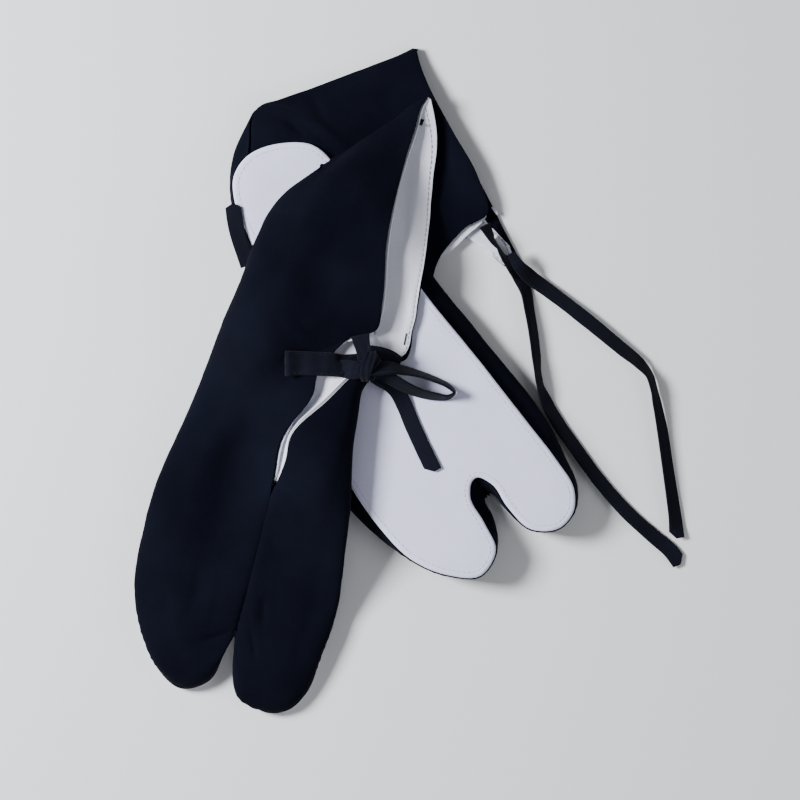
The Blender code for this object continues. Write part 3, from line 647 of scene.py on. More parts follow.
# %% Sole edge
OUTER_EDGE = (
    ("heel", 0.0, -1.0),
    ("heel_corner", 5.5, -14.5),
    ("heel_side", 16.0, -21.0),
    ("arch_back", 36.0, -25.5),
    ("arch", 62.0, -31.0),
    ("waist_back", 76.0, -34.0),
    ("waist", 90.0, -37.5),
    ("waist_mid", 104.0, -41.0),
    ("waist_front", 118.0, -44.0),
    ("ball_back", 148.0, -51.0),
    ("ball_mid", 165.0, -54.0),
    ("ball", 180.0, -55.5),
    ("toe_root", 206.0, -55.0),
    ("little_toe", 230.0, -50.5),
    ("toes", 248.0, -39.0),
    ("toe_tip", 258.5, -24.0),
    ("toe_inside", 251.5, -9.5),
    ("notch_mid", 236.0, -6.5),
    ("notch_side", 219.0, -4.4),
    ("crotch", 213.3, 1.7),
)
INNER_EDGE = (
    ("heel", 0.0, 1.0),
    ("heel_corner", 5.3, 18.5),
    ("heel_side", 14.5, 30.5),
    ("arch_back", 36.0, 35.3),
    ("arch", 62.0, 35.8),
    ("waist_back", 76.0, 35.7),
    ("waist_mid", 83.0, 35.6),
    ("waist", 90.0, 35.6),
    ("waist_front", 118.0, 36.3),
    ("ball_back", 148.0, 39.0),
    ("ball_mid", 165.0, 40.5),
    ("ball", 180.0, 41.5),
    ("toe_root", 206.0, 43.3),
    ("great_toe", 230.0, 44.8),
    ("toe_side", 248.0, 43.8),
    ("tip_side", 258.0, 36.5),
    ("toe_tip", 261.0, 26.0),
    ("toe_inside", 253.0, 12.5),
    ("notch_mid", 236.0, 8.6),
    ("notch_side", 220.0, 8.2),
    ("crotch", 213.3, 3.3),
)


def edge_place(sock, side, along, across):
    """A place on the sole's edge, with the toe lobes as this sock lies."""
    back, over = LOBES.get((sock, side), (0.0, 0.0))
    share = float(smooth((along - NOTCH_ALONG) / LOBE_LENGTH))
    return along + back * share, across + over * share


def sole_outline(sock, steps):
    """The sole's edge once round, in the sock's own frame."""
    outer = [edge_place(sock, "outer", row[1], row[2]) for row in OUTER_EDGE]
    inner = [edge_place(sock, "inner", row[1], row[2]) for row in INNER_EDGE]
    ring = outer + inner[::-1]
    curve = curve_through(ring[-2:] + ring + ring[:2], steps)
    return curve[2 * steps:(2 + len(ring)) * steps]


def segment_gap(spots, start, edge):
    """How far each spot is from a straight stretch, and the share of it where it is nearest."""
    share = np.clip(((spots - start) @ edge) / (edge @ edge), 0.0, 1.0)
    return np.linalg.norm(spots - start - share[..., None] * edge, axis=-1), share


def inside_distance(spots, outline):
    """Distance from each spot to an outline, positive inside it."""
    spots = np.asarray(spots)
    nearest = np.full(spots.shape[:-1], 1e9)
    inside = np.zeros(spots.shape[:-1], bool)
    for a, b in zip(outline, np.roll(outline, -1, axis=0)):
        edge = b - a
        nearest = np.minimum(nearest, segment_gap(spots, a, edge)[0])
        crosses = (a[1] > spots[..., 1]) != (b[1] > spots[..., 1])
        rise = edge[1] if abs(edge[1]) > 1e-9 else 1e-9
        inside ^= crosses & (spots[..., 0] < a[0] + (spots[..., 1] - a[1]) * edge[0] / rise)
    return np.where(inside, nearest, -nearest)


# %% [markdown]
# Draping
#
# A sock laid across another one is held up by it and comes down to the floor beside it in a
# soft slope.  A cloth simulation would do that, but the outline would come out otherwise each
# time.  Here the lower sock's footprint says how high the upper sock lies at each spot: at
# full height over it, and easing down over a few centimetres past its edge.

# %% Draping
def on_floor(sock, own):
    """Places of a sock's own frame on the floor."""
    heel, toes, medial = sock_axes(sock)
    return heel + own[..., :1] * toes + own[..., 1:2] * medial


LEFT_FOOTPRINT = on_floor("left", sole_outline("left", 2))


def resting_height(spots):
    """How high the upper sock's underside is over each spot of the floor."""
    within = inside_distance(spots, LEFT_FOOTPRINT)
    top = LEFT_THICK + REST_GAP
    to_floor = top * smooth(1.0 + (within + DRAPE_START) / DRAPE_RUN)
    shaft_top = LEFT_SHAFT + WALL + REST_GAP
    to_shaft = shaft_top + (top - shaft_top) * smooth(1.0 + within / SHAFT_RUN)
    heel, _, medial = sock_axes("left")
    shaft_side = smooth(((spots - heel) @ medial) / SHAFT_SIDE)
    off = np.linalg.norm(spots - (np.array(LIFT_SPOT) - MIDDLE), axis=-1)
    return to_floor + (to_shaft - to_floor) * shaft_side + LIFT_HEIGHT * hump(off, LIFT_REACH)


def place_sock(sock, own):
    """Points of a sock's own frame, with their heights, in the world."""
    plan = on_floor(sock, own)
    base = resting_height(plan) if sock == "right" else 0.0
    return np.concatenate([plan, (own[..., 2] + base)[..., None]], axis=-1)


print("resting height at the middle:", round(float(resting_height(np.array([0.0, 0.0]))), 1))

# %% [markdown]
# The uppers' sections
#
# An upper is drawn like a boat's hull: from each named station on the sole's edge a section
# runs out to its widest point, over a shoulder and a slope, to its crest on the mouth, the
# front slit or the centre seam.  Smooth curves through the sections, first across and then
# along, give the whole sheet of cloth.

# %% The right sock's sections
# Name of the section; widest point: along, across, height; heights of the shoulder and the
# slope; crest: along, across, height
RIGHT_SHARES = (0.30, 0.65)     # where the shoulder and the slope lie between those two points
RIGHT_OUTER = (
    ("heel", -33.0, 7.0, 8.6, 7.2, 5.6, -80.4, 60.2, 4.0),
    ("heel_corner", -3.0, -17.2, 9.0, 16.0, 13.0, -63.0, 55.5, 8.5),
    ("heel_side", 10.0, -21.4, 11.0, 20.0, 15.5, -36.0, 51.0, 12.0),
    ("arch_back", 35.0, -26.6, 12.0, 22.0, 16.0, 0.0, 48.5, 13.5),
    ("arch", 60.0, -33.6, 12.0, 22.0, 16.5, 31.7, 50.6, 12.5),
    ("waist_back", 75.0, -36.8, 11.0, 21.5, 17.0, 48.9, 49.6, 10.5),
    ("waist", 90.0, -40.1, 10.5, 21.0, 17.5, 61.2, 30.4, 15.0),
    ("waist_front", 117.0, -47.8, 10.0, 20.0, 18.0, 90.6, 19.6, 18.5),
    ("ball_back", 147.0, -55.6, 9.5, 19.0, 16.5, 114.0, 6.9, 19.5),
    ("ball_mid", 164.0, -58.7, 9.0, 18.5, 16.0, 136.5, 5.6, 19.5),
    ("ball", 179.0, -60.1, 9.0, 18.0, 15.5, 152.0, 4.6, 18.5),
    ("toe_root", 206.0, -59.4, 8.5, 16.5, 14.5, 178.4, 1.4, 16.5),
    ("little_toe", 229.5, -52.3, 8.0, 15.0, 14.0, 205.0, -1.4, 14.0),
    ("toes", 245.0, -41.8, 7.5, 13.5, 13.0, 214.0, -2.5, 12.4),
    ("toe_tip", 252.8, -23.8, 7.0, 12.2, 12.3, 218.0, -3.2, 11.5),
    ("toe_inside", 246.3, -13.8, 7.0, 11.3, 11.8, 219.8, -3.9, 11.0),
    ("notch_mid", 235.5, -9.8, 7.0, 10.4, 11.0, 220.8, -4.3, 10.7),
    ("notch_side", 225.6, -6.4, 6.5, 8.8, 9.6, 221.6, -4.7, 10.4),
    ("crotch", 218.5, -2.1, 6.2, 8.2, 9.2, 222.2, -5.0, 10.2),
)
RIGHT_INNER = (
    ("heel", -31.5, 8.5, 5.4, 4.6, 3.2, -79.8, 61.2, 1.6),
    ("heel_corner", -5.0, 26.0, 5.0, 3.3, 2.2, -62.5, 66.8, 1.2),
    ("heel_side", 8.0, 38.0, 4.8, 2.9, 1.8, -34.3, 68.5, 1.1),
    ("arch_back", 32.0, 43.0, 4.8, 2.8, 1.7, -2.0, 70.0, 1.1),
    ("arch", 58.0, 43.0, 4.8, 2.9, 1.9, 30.0, 70.0, 1.5),
    ("waist_back", 73.0, 43.0, 5.0, 3.4, 2.4, 57.2, 67.8, 2.0),
    ("waist_mid", 80.0, 44.0, 6.2, 6.4, 6.2, 63.0, 60.5, 6.2),
    ("waist", 87.0, 45.0, 8.0, 11.5, 13.0, 71.0, 44.5, 13.5),
    ("waist_front", 115.0, 45.2, 9.5, 17.0, 18.5, 90.5, 28.0, 18.5),
    ("ball_back", 146.0, 48.2, 9.5, 17.5, 19.0, 110.0, 12.4, 19.5),
    ("ball_mid", 164.0, 48.8, 9.0, 17.0, 18.5, 136.3, 8.1, 19.5),
    ("ball", 180.0, 49.0, 9.0, 16.5, 17.5, 152.0, 5.2, 18.5),
    ("toe_root", 207.0, 48.0, 8.5, 15.0, 15.8, 178.4, 2.0, 16.5),
    ("great_toe", 228.5, 43.6, 8.0, 14.2, 14.2, 205.0, -0.8, 14.0),
    ("toe_side", 244.3, 38.9, 7.5, 13.5, 13.2, 213.0, -1.8, 12.7),
    ("tip_side", 254.6, 31.8, 7.5, 12.8, 12.8, 217.0, -2.4, 11.9),
    ("toe_tip", 260.0, 20.9, 7.0, 12.2, 12.4, 219.0, -2.8, 11.4),
    ("toe_inside", 255.8, 4.8, 7.0, 11.8, 11.8, 220.4, -2.8, 11.0),
    ("notch_mid", 238.0, -1.2, 7.0, 11.0, 11.2, 221.4, -2.7, 10.7),
    ("notch_side", 225.8, -0.6, 6.5, 9.0, 9.8, 222.0, -2.5, 10.4),
    ("crotch", 218.7, 0.1, 6.2, 8.2, 9.2, 222.6, -2.3, 10.2),
)

# %% The left sock's sections
# Rows without a shoulder's, a slope's and a crest's height lie flat on the floor from there on
LEFT_SHARES = (0.12, 0.50)
LEFT_OUTER = (
    ("heel", -18.6, 17.4, 5.6, 3.9, 2.0, 3.0, 104.8, 1.0),
    ("heel_corner", -3.8, -8.0, 8.5, 22.0, 100.6),
    ("heel_side", 14.0, -21.8, 9.0, 49.6, 97.4),
    ("arch_back", 35.0, -28.5, 9.0, 79.8, 95.0),
    ("arch", 61.0, -35.0, 9.0, 106.0, 91.8),
    ("waist_back", 75.0, -38.5, 9.0, 138.0, 85.4),
    ("waist", 89.0, -42.5, 9.0, 122.6, 78.6),
    ("waist_mid", 103.0, -46.5, 9.0, 98.6, 69.8),
    ("waist_front", 117.0, -50.5, 9.0, 101.0, 52.0),
    ("ball_back", 147.0, -58.0, 9.0, 114.0, 33.0),
    ("ball_mid", 164.0, -61.5, 9.0, 136.5, 6.3),
    ("ball", 180.0, -63.0, 9.0, 152.0, 4.8),
    ("toe_root", 205.0, -59.2, 8.5, 178.4, 3.6),
    ("little_toe", 230.0, -50.4, 8.0, 205.0, 3.1),
    ("toes", 248.0, -38.4, 7.5, 214.0, 2.9),
    ("toe_tip", 257.7, -23.6, 7.0, 218.5, 2.8),
    ("toe_inside", 250.0, -8.4, 7.0, 221.0, 2.8),
    ("notch_mid", 236.0, -1.6, 7.5, 222.6, 2.9),
    ("notch_side", 225.4, 0.1, 8.0, 223.4, 2.9),
    ("crotch", 222.3, 2.3, 8.0, 1.6, 0.8, 223.9, 2.7, 0.8),
)
LEFT_OUTER_BENDS = {        # slope points off the straight line, along and across
    "heel_side": (37.0, 56.0),
    "arch_back": (52.0, 70.0),
    "arch": (63.0, 72.0),
    "waist_back": (71.0, 72.0),
    "waist": (77.5, 70.0),
    "waist_mid": (84.0, 66.0),
    "waist_front": (104.0, 28.0),
}
LEFT_INNER = (
    ("heel", -18.4, 18.4, 9.2, 7.2, 5.2, 3.2, 105.2, 3.8),
    ("heel_corner", -6.0, 30.0, 12.5, 11.0, 8.6, 22.0, 101.0, 7.4),
    ("heel_side", 8.0, 40.0, 14.0, 12.5, 9.0, 49.6, 98.0, 8.6),
    ("arch_back", 38.0, 44.4, 14.2, 12.8, 9.0, 79.8, 95.2, 8.0),
    ("arch", 66.0, 45.0, 14.2, 13.0, 9.0, 98.5, 88.0, 6.8),
    ("waist_back", 82.0, 44.4, 14.0, 13.0, 9.0, 97.8, 74.5, 7.0),
    ("waist_mid", 89.0, 44.2, 13.8, 12.8, 9.0, 99.6, 65.5, 6.8),
    ("waist", 96.0, 44.2, 13.0, 11.5, 8.4, 103.0, 54.5, 6.2),
    ("waist_front", 117.0, 44.6, 9.0, 3.4, 1.6, 118.5, 35.0, 0.8),
    ("ball_back", 148.0, 47.6, 9.0, 127.5, 21.0),
    ("ball_mid", 165.0, 49.2, 9.0, 136.6, 7.8),
    ("ball", 180.0, 50.4, 9.0, 152.0, 5.4),
    ("toe_root", 207.0, 51.6, 8.5, 178.4, 4.2),
    ("great_toe", 231.0, 48.9, 8.0, 205.0, 3.7),
    ("toe_side", 249.0, 44.6, 7.5, 214.0, 3.5),
    ("tip_side", 258.0, 36.2, 7.0, 218.5, 3.4),
    ("toe_tip", 260.4, 26.0, 7.0, 220.5, 3.4),
    ("toe_inside", 254.0, 13.4, 7.0, 222.0, 3.4),
    ("notch_mid", 236.0, 7.8, 7.5, 223.0, 3.45),
    ("notch_side", 225.8, 6.4, 8.0, 223.7, 3.6),
    ("crotch", 222.4, 4.2, 8.0, 1.6, 0.8, 223.9, 3.8, 0.8),
)

# %% Upper surface
RIGHT_FOOT = SOLE_WALL + SEAM_GAP + WALL / 2                 # heights where the uppers meet the soles
LEFT_FOOT = LEFT_THICK - SOLE_WALL - SEAM_GAP - WALL / 2
PANELS = {
    ("right", "outer"): (RIGHT_OUTER, RIGHT_SHARES, {}, RIGHT_FOOT),
    ("right", "inner"): (RIGHT_INNER, RIGHT_SHARES, {}, RIGHT_FOOT),
    ("left", "outer"): (LEFT_OUTER, LEFT_SHARES, LEFT_OUTER_BENDS, LEFT_FOOT),
    ("left", "inner"): (LEFT_INNER, LEFT_SHARES, {}, LEFT_FOOT),
}
OUTWARD = {                     # 1 where a grid's own normals already point out of the sock
    ("left", "outer"): -1, ("left", "inner"): 1, ("right", "outer"): 1, ("right", "inner"): -1,
}
SPAN_STEPS = 12                 # mesh steps between two points of a section
ROW_STEPS = 9                   # mesh steps between two sections
CUFF_TIP = (31.2, 179.2, 6.0, 0.6, 1.2)     # a nudge of both layers at the lower cuff's tip
NUDGES = {                      # small shifts: place on the plan, reach, shift
    ("right", "outer"): (
        (36.2, 147.2, 7.5, -1.8, 0.8), (-2.3, 22.0, 6.0, 0.0, 3.6), (7.0, 25.0, 5.0, 0.0, 1.6),
        (-19.5, 3.5, 7.0, -2.4, 0.0),
    ),
    ("right", "inner"): (
        (31.4, 26.6, 6.5, -1.7, 0.0), (26.2, 14.4, 6.0, 0.5, -2.6), (-39.5, -41.0, 9.0, 1.9, 0.0),
        (-45.4, -61.0, 5.0, -0.9, 0.0),
    ),
    ("left", "outer"): ((69.3, 71.7, 7.0, 1.3, 1.5), CUFF_TIP),
    ("left", "inner"): (CUFF_TIP,),
}


def upper_surface(sock, side):
    """The middle surface of an upper's cloth, as a grid of world points."""
    rows, shares, bends, start = PANELS[sock, side]
    edges = {row[0]: row[1:] for row in (OUTER_EDGE if side == "outer" else INNER_EDGE)}
    sections = []
    for name, *row in rows:
        if len(row) == 5:
            row = (*row[:3], WALL / 2, WALL / 2, *row[3:], WALL / 2)
        along, across, high, shoulder, slope, crest_along, crest_across, crest_high = row
        foot = (*edge_place(sock, side, *edges[name]), start)
        widest = np.array([along, across, high])
        crest = np.array([crest_along, crest_across, crest_high])
        points = [np.array(foot), widest]
        for share, height in zip(shares, (shoulder, slope)):
            point = widest + (crest - widest) * share
            point[2] = height
            points.append(point)
        if name in bends:
            points[-1][:2] = bends[name]
        sections.append(curve_through(points + [crest], SPAN_STEPS))
    surface = place_sock(sock, curve_through(sections, ROW_STEPS))
    for x, y, reach, by_x, by_y in NUDGES.get((sock, side), ()):
        gap = np.linalg.norm(surface[..., :2] - (x, y), axis=-1)
        surface[..., :2] += hump(gap, reach)[..., None] * (by_x, by_y)
    if sock == "left":
        surface[..., 2] = np.maximum(surface[..., 2], WALL / 2)
    return surface


def surface_normals(surface):
    """Unit normals of a grid of points."""
    by_row = np.gradient(surface, axis=0)
    by_column = np.gradient(surface, axis=1)
    return unit(np.cross(by_row, by_column))

# %% [markdown]
# Creases
#
# Cloth that has been folded and worn keeps soft troughs and ridges.  Each one here is given as
# a short line on the floor plan, its half width, and how far it lifts the cloth above it, or
# presses it in.  Broad ones shape the form, narrow ones catch the light.

# %% Creases
CREASES = {                     # panel: (half width, lift, points on the plan)
    ("right", "outer"): (
        (2.2, 1.1, ((-40, 33), (-30, 25), (-14, 16), (5, 9))),
        (3.4, -0.6, ((-44, 29), (-33, 20), (-18, 11))),
        (13.0, -1.5, ((-50, 2), (-57, -26), (-65, -58), (-71, -96))),
        (1.8, -1.2, ((-85, -140), (-76, -138), (-66.5, -134.5))),
        (2.0, -0.6, ((-59, -112), (-61, -126))),
        (11.0, -1.4, ((-32, 66), (-22, 52), (-12, 42))),
        (2.6, 0.5, ((8, 124), (20, 122))),
        (3.6, 0.7, ((-8, 124), (14, 138), (30, 149))),
        (5.0, -0.6, ((-58, 42), (-36, 66), (-18, 96))),
        (7.0, 0.8, ((-96, -50), (-104, -85), (-107, -118))),
        (3.0, -0.5, ((-84, -96), (-88, -118), (-96, -134))),
        (2.4, 0.4, ((-76, -104), (-80, -122), (-84, -132))),
        (6.0, 0.6, ((-6, 76), (-2, 96), (6, 112))),
        (4.0, -0.5, ((-22, 22), (-34, 4), (-44, -10))),
    ),
    ("right", "inner"): (
        (2.6, 0.6, ((-2, -7), (-3, -26), (-5, -53))),
        (1.7, -1.1, ((-50, -116), (-50.5, -133))),
        (1.8, 0.8, ((-55, -115), (-55.5, -131))),
        (1.7, -0.9, ((-57, -133), (-54.5, -151))),
        (7.0, 0.5, ((-30, -75), (-36, -118), (-38, -155))),
        (6.0, -0.6, ((-14, -60), (-20, -100), (-28, -140))),
        (2.4, -0.5, ((-46, -88), (-38, -96), (-28, -98))),
        (3.0, -0.5, ((-32, -44), (-22, -40), (-10, -46))),
        (2.2, 0.4, ((-24, -28), (-14, -30), (-6, -40))),
    ),
    ("left", "inner"): (
        (2.0, 1.1, ((-53, 150), (-25, 141), (-6, 128))),
        (3.0, -1.0, ((-50, 145), (-30, 138), (-14, 128))),
        (2.6, -1.3, ((-26, 156), (-18, 143))),
        (2.4, -1.2, ((-38, 142), (-27, 131))),
        (3.0, 0.5, ((-10, 160), (8, 158), (22, 164))),
        (5.0, -0.6, ((30, 150), (42, 122), (58, 104))),
        (3.5, 0.5, ((40, 100), (52, 92), (64, 92))),
        (2.5, -0.5, ((0, 172), (14, 162), (26, 160))),
    ),
    ("left", "outer"): (
        (2.0, -0.4, ((-66, 112), (-60, 128), (-54, 140))),
    ),
}


def line_distance(plan, line):
    """Distance from each place on the plan to a line, and how far along the line it is."""
    nearest = np.full(plan.shape[:-1], 1e9)
    along = np.zeros(plan.shape[:-1])
    count = len(line) - 1
    for i, (a, b) in enumerate(zip(line, line[1:])):
        gap, share = segment_gap(plan, a, b - a)
        along = np.where(gap < nearest, (i + share) / count, along)
        nearest = np.minimum(nearest, gap)
    return nearest, along


CREASE_STEPS = 4                # straight stretches between two of a crease's points
CREASE_TAPER = 0.6              # below 1 a crease keeps its depth nearer to its ends


def crease_lift(plan, creases, end):
    """How far the listed creases lift each point.

    They fade towards their ends, but no more in the last share before each end."""
    lift = np.zeros(plan.shape[:-1])
    for half, height, points in creases:
        gap, along = line_distance(plan, curve_through(points, CREASE_STEPS))
        fade = np.sin(math.pi * np.clip(along, end, 1.0 - end)) ** CREASE_TAPER
        lift += height * fade * hump(gap, half)
    return lift


def noise_field(points, scale, seed):
    """Soft uneven variation from -1 to 1 at each point."""
    flat = points.reshape(-1, 3) * scale
    values = [noise.noise(Vector((x + seed, y - seed, z))) for x, y, z in flat]
    return np.array(values).reshape(points.shape[:-1])


def unevenness(points, waves):
    """Several sizes of soft variation at once: how high, how fine, and its seed."""
    return sum(height * noise_field(points, scale, seed) for height, scale, seed in waves)

# %% [markdown]
# Puckers
#
# Thread draws cloth together, so every seam is fringed with tiny gathers that die out within a
# few millimetres.  They follow the distance from the seam and wobble with noise, so that no
# two are alike.

# %% Seam puckers and edges
PUCKER = 0.26                   # height of the gathers
CREST_SHARE = 0.8               # how much of it the seam over the foot has
SOLE_GATHERS = (4.6, 3.5, 1.5, 5.0)         # spacing, wobble, where they are highest, reach
CREST_GATHERS = (4.6, 3.0, 1.2, 4.0)
SOLE_START, CREST_START = 2.0, 1.5          # over how much cloth they rise from each seam
WOBBLE_SCALE = 0.11             # how fine the wobble is
SEAM_DIP = 0.7                  # a turned seam edge rolls down by this much
SEAM_ROLL = 1.6
BROAD_WAVES = ((0.55, 0.028, 3.0), (0.22, 0.09, 11.0))
FINE_WAVES = ((0.05, 0.4, 5.0),)
EVEN_SOLE, EVEN_CREST = 6.0, 4.0            # near its edges the cloth is less uneven
CREST_KEEPS = 0.25              # how far along that rise the crest itself already is
CREASE_END = 0.04               # share of a crease at each end where it fades no more
CREASE_START = 4.0              # creases rise over this much cloth from the sole


def row_distance(surface, from_end):
    """Distance along each section from its sole edge, or from its crest."""
    step = np.linalg.norm(np.diff(surface, axis=1), axis=-1)
    total = np.concatenate([np.zeros((len(surface), 1)), np.cumsum(step, axis=1)], axis=1)
    return total[:, -1:] - total if from_end else total


def station_row(name, rows):
    """Which row of a surface belongs to a named section."""
    return [row[0] for row in rows].index(name) * ROW_STEPS


def gathers(edge, away, noisy, spacing, wobble, peak, reach):
    """Ripples along an edge, each a spacing long but for the wobble, highest at their peak."""
    ripples = np.sin(2 * math.pi * run_along(edge)[:, None] / spacing + wobble * noisy)
    return ripples * hump(away - peak, reach)


def dress_surface(panel):
    """An upper's surface with its creases, puckers and unevenness."""
    surface = upper_surface(*panel)
    outward = surface_normals(surface) * OUTWARD[panel]
    from_sole, from_crest = row_distance(surface, False), row_distance(surface, True)
    noisy = noise_field(surface, WOBBLE_SCALE, 7.0)
    at_sole = gathers(surface[:, 0], from_sole, noisy, *SOLE_GATHERS)
    at_crest = gathers(surface[:, -1], from_crest, noisy, *CREST_GATHERS)
    seam_start = station_row("ball_mid", PANELS[panel][0])
    seam_rows = smooth((np.arange(len(surface)) - seam_start) / ROW_STEPS)[:, None]
    lift = PUCKER * at_sole * smooth(from_sole / SOLE_START)
    lift += CREST_SHARE * PUCKER * at_crest * smooth(from_crest / CREST_START) * seam_rows
    lift -= SEAM_DIP * seam_rows * hump(from_crest, SEAM_ROLL)
    inner_part = smooth(from_sole / EVEN_SOLE) * smooth(from_crest / EVEN_CREST + CREST_KEEPS)
    lift += inner_part * unevenness(surface, BROAD_WAVES) + unevenness(surface, FINE_WAVES)
    level = outward[..., 2] if panel[0] == "right" else abs(outward[..., 2])
    creases = crease_lift(surface[..., :2], CREASES[panel], CREASE_END)
    # steep cloth keeps few of the creases that are drawn on the plan
    lift += creases * smooth(level * 2.0 - 0.2) * smooth(from_sole / CREASE_START)
    surface = surface + outward * lift[..., None]
    if panel[0] == "left":
        surface[..., 2] = np.maximum(surface[..., 2], WALL / 2)
    return surface


def cloth_area(surface):
    """The area of a grid of points, in square centimetres."""
    one, other = surface[1:, :-1] - surface[:-1, :-1], surface[:-1, 1:] - surface[:-1, :-1]
    return round(float(np.linalg.norm(np.cross(one, other), axis=-1).sum()) / 100.0, 1)


# %% [markdown]
# The uppers
#
# Each upper is one sheet: dark twill outside, white lining inside, and the twill turned over
# the edge in a narrow hem.  It could be two meshes, but one mesh with a Solidify modifier keeps
# the two layers together: the inner face takes the next material, and the faces of the hem are
# marked beforehand, so that they stay dark on the inside too.

# %% Hems
# How far the white facing stays back from each upper's edge, section by section: the twill's
# own hem shows in that strip.  A negative value is white rolled past the edge.
EDGES = {                       # panel: (section, share of the way to the next one, set back)
    ("right", "outer"): (
        ("heel", 0.0, -1.3), ("arch", 0.3, -1.3), ("waist_back", 0.0, 0.6), ("waist_back", 0.2, 1.3),
        ("waist", 0.0, 1.3), ("waist", 0.4, 0.3), ("waist_front", 0.6, 0.3),
        ("ball_back", 0.0, -1.1), ("ball_mid", 0.0, -1.1),
    ),
    ("right", "inner"): (
        ("heel", 0.0, 0.2), ("arch", 0.6, 0.8), ("waist_back", 0.0, 1.6), ("waist_back", 0.4, 3.4),
        ("waist_mid", 0.6, 3.0), ("waist", 0.0, -1.8), ("waist_front", 0.6, -1.8),
        ("ball_back", 0.2, -1.2), ("ball_mid", 0.0, -1.1),
    ),
    ("left", "outer"): (
        ("heel", 0.0, 8.4), ("arch", 0.0, 8.4), ("arch", 0.18, 5.0), ("arch", 0.33, 1.7),
        ("arch", 0.5, 2.6), ("waist_back", 0.0, 3.2), ("waist_back", 0.4, 0.4), ("ball_mid", 0.0, 0.4),
    ),
    ("left", "inner"): (
        ("heel", 0.0, 0.6), ("arch_back", 0.9, 0.4), ("arch", 0.33, -1.6), ("arch", 0.67, -3.6),
        ("waist_back", 0.0, -4.0), ("waist_mid", 0.2, -3.8), ("waist", 0.0, -2.6),
        ("waist", 0.4, -1.4), ("ball_mid", 0.0, -0.8),
    ),
}


def set_back(panel):
    """The facing's set back at every row of an upper's surface."""
    rows = PANELS[panel][0]
    places = [station_row(name, rows) + share * ROW_STEPS for name, share, _ in EDGES[panel]]
    every_row = np.arange((len(rows) - 1) * ROW_STEPS + 1)
    return np.interp(every_row, places, [back for _, _, back in EDGES[panel]])


# %% Uppers
HEM_MARGIN = 0.9                # how far the hem goes on under the facing
UPPER_FOLD = 0.45               # rounding of the upper's edges


def make_sheet(panel, kind, surface, material):
    """A sheet of an upper's panel with its right side out, its name and its solid's node."""
    faces = grid_faces(*surface.shape[:2])
    if OUTWARD[panel] > 0:
        faces = [face[::-1] for face in faces]
    name = " ".join((*panel, kind))
    piece = make_piece(name.capitalize(), surface, faces, material)
    return piece, name.capitalize(), name.replace(" ", "_")


def make_upper(panel):
    """An upper: dark twill outside, white lining inside with a dark hem."""
    surface = dress_surface(panel)
    rows = len(surface)
    piece, name, node = make_sheet(panel, "upper", surface, twill)
    for lining in (facing_cotton, twill, twill):
        piece.data.materials.append(lining)
    gap, along = line_distance(surface[..., :2], surface[:, -1, :2])
    back = np.interp(along * (rows - 1), np.arange(rows), np.maximum(set_back(panel), 0.0))
    hem = (gap < back + HEM_MARGIN)[:-1, 1:]
    piece.data.polygons.foreach_set("material_index", np.where(hem.ravel(), 2, 0))
    thicken(piece, WALL, fold=UPPER_FOLD, lined=True)
    join_part(piece, node)
    print(name, len(piece.data.polygons), "faces, shows", cloth_area(surface), "cm2")
    return piece, surface


UPPERS = {panel: make_upper(panel) for panel in PANELS}

# %% [markdown]
# Seam allowances
#
# Behind every seam the two uppers' raw edges lie pressed together, and they fill the join so
# that no light shows through.  Each one is a narrow dark strip just inside the two edges: up
# the heel, down the front from the slit to the toes, and between the toes.

# %% Seam allowances
ALLOWANCE = 1.5                 # how far a strip reaches under each edge
ALLOWANCE_DEPTH = 0.4           # how far it lies under the cloth
ALLOWANCE_HALF = 0.3            # half its thickness
SEAM_POINTS = 90


def even_line(line):
    """A line with its points at even distances."""
    run = run_along(line)
    return values_at(np.linspace(0.0, run[-1], SEAM_POINTS), run, line)


def make_allowances(sock):
    """The strips behind one sock's three seams, as one piece."""
    edges = []
    heel_end = -4 if sock == "right" else None      # at the right heel the cuff's end stays free
    for side in ("outer", "inner"):
        surface = UPPERS[sock, side][1]
        outward = surface_normals(surface) * OUTWARD[sock, side]
        under = surface - outward * (WALL / 2 + ALLOWANCE_DEPTH)
        front = station_row("ball_mid", PANELS[sock, side][0]) + 2
        edges.append([even_line(line) for line in (under[0, :heel_end], under[front:, -1], under[-1])])
    points, faces = [], []
    for one, other in zip(*edges):
        reach = unit(one - other) * ALLOWANCE
        runs = unit(np.gradient((one + other) / 2, axis=0))
        out = unit(np.cross(runs, reach)) * ALLOWANCE_HALF
        one, other = one + reach, other - reach
        ring = np.stack([one + out, other + out, other - out, one - out], axis=1)
        add_mesh(points, faces, ring.reshape(-1, 3), tube_faces(SEAM_POINTS, 4))
    piece = make_piece(f"{sock.title()} seam allowances", points, faces, twill)
    join_part(piece, f"{sock}_outer_upper", replaces=False)


make_allowances("right")
make_allowances("left")

# %% [markdown]
# Soles
#
# A sole is two layers of thick cotton quilted together, about 3 mm in all, with its edge
# rounded where it was turned in and sewn.  Its outline comes from the same edge table as the
# uppers, so the toe split, the lobes and the heel match them.  Rings of points just inside the
# edge carry the rounding, and a plain grid fills the middle so that the sole can drape.

# %% Soles
SOLE_RINGS = (0.0, 0.25, 0.8, 1.6, 2.8)
SOLE_ROUND = 2.4                # how far in from the edge the rounding reaches
SOLE_CELL = 3.2
SOLE_LIP = 0.30                 # share of the thickness left at the very edge
SOLE_STITCH = 3.0               # from the sole's edge to its row of stitches
SOLE_GROOVE = (0.16, 0.7)       # under those stitches: depth, reach
SOLE_PUCKER = (0.22, 2.6, 0.30)             # beside them: height, reach, how fine
SOLE_WAVES = ((0.55, 0.022, 4.0), (0.16, 0.075, 9.0))
SOLE_EVEN = 14.0                # the sole's unevenness rises over this much from its edge


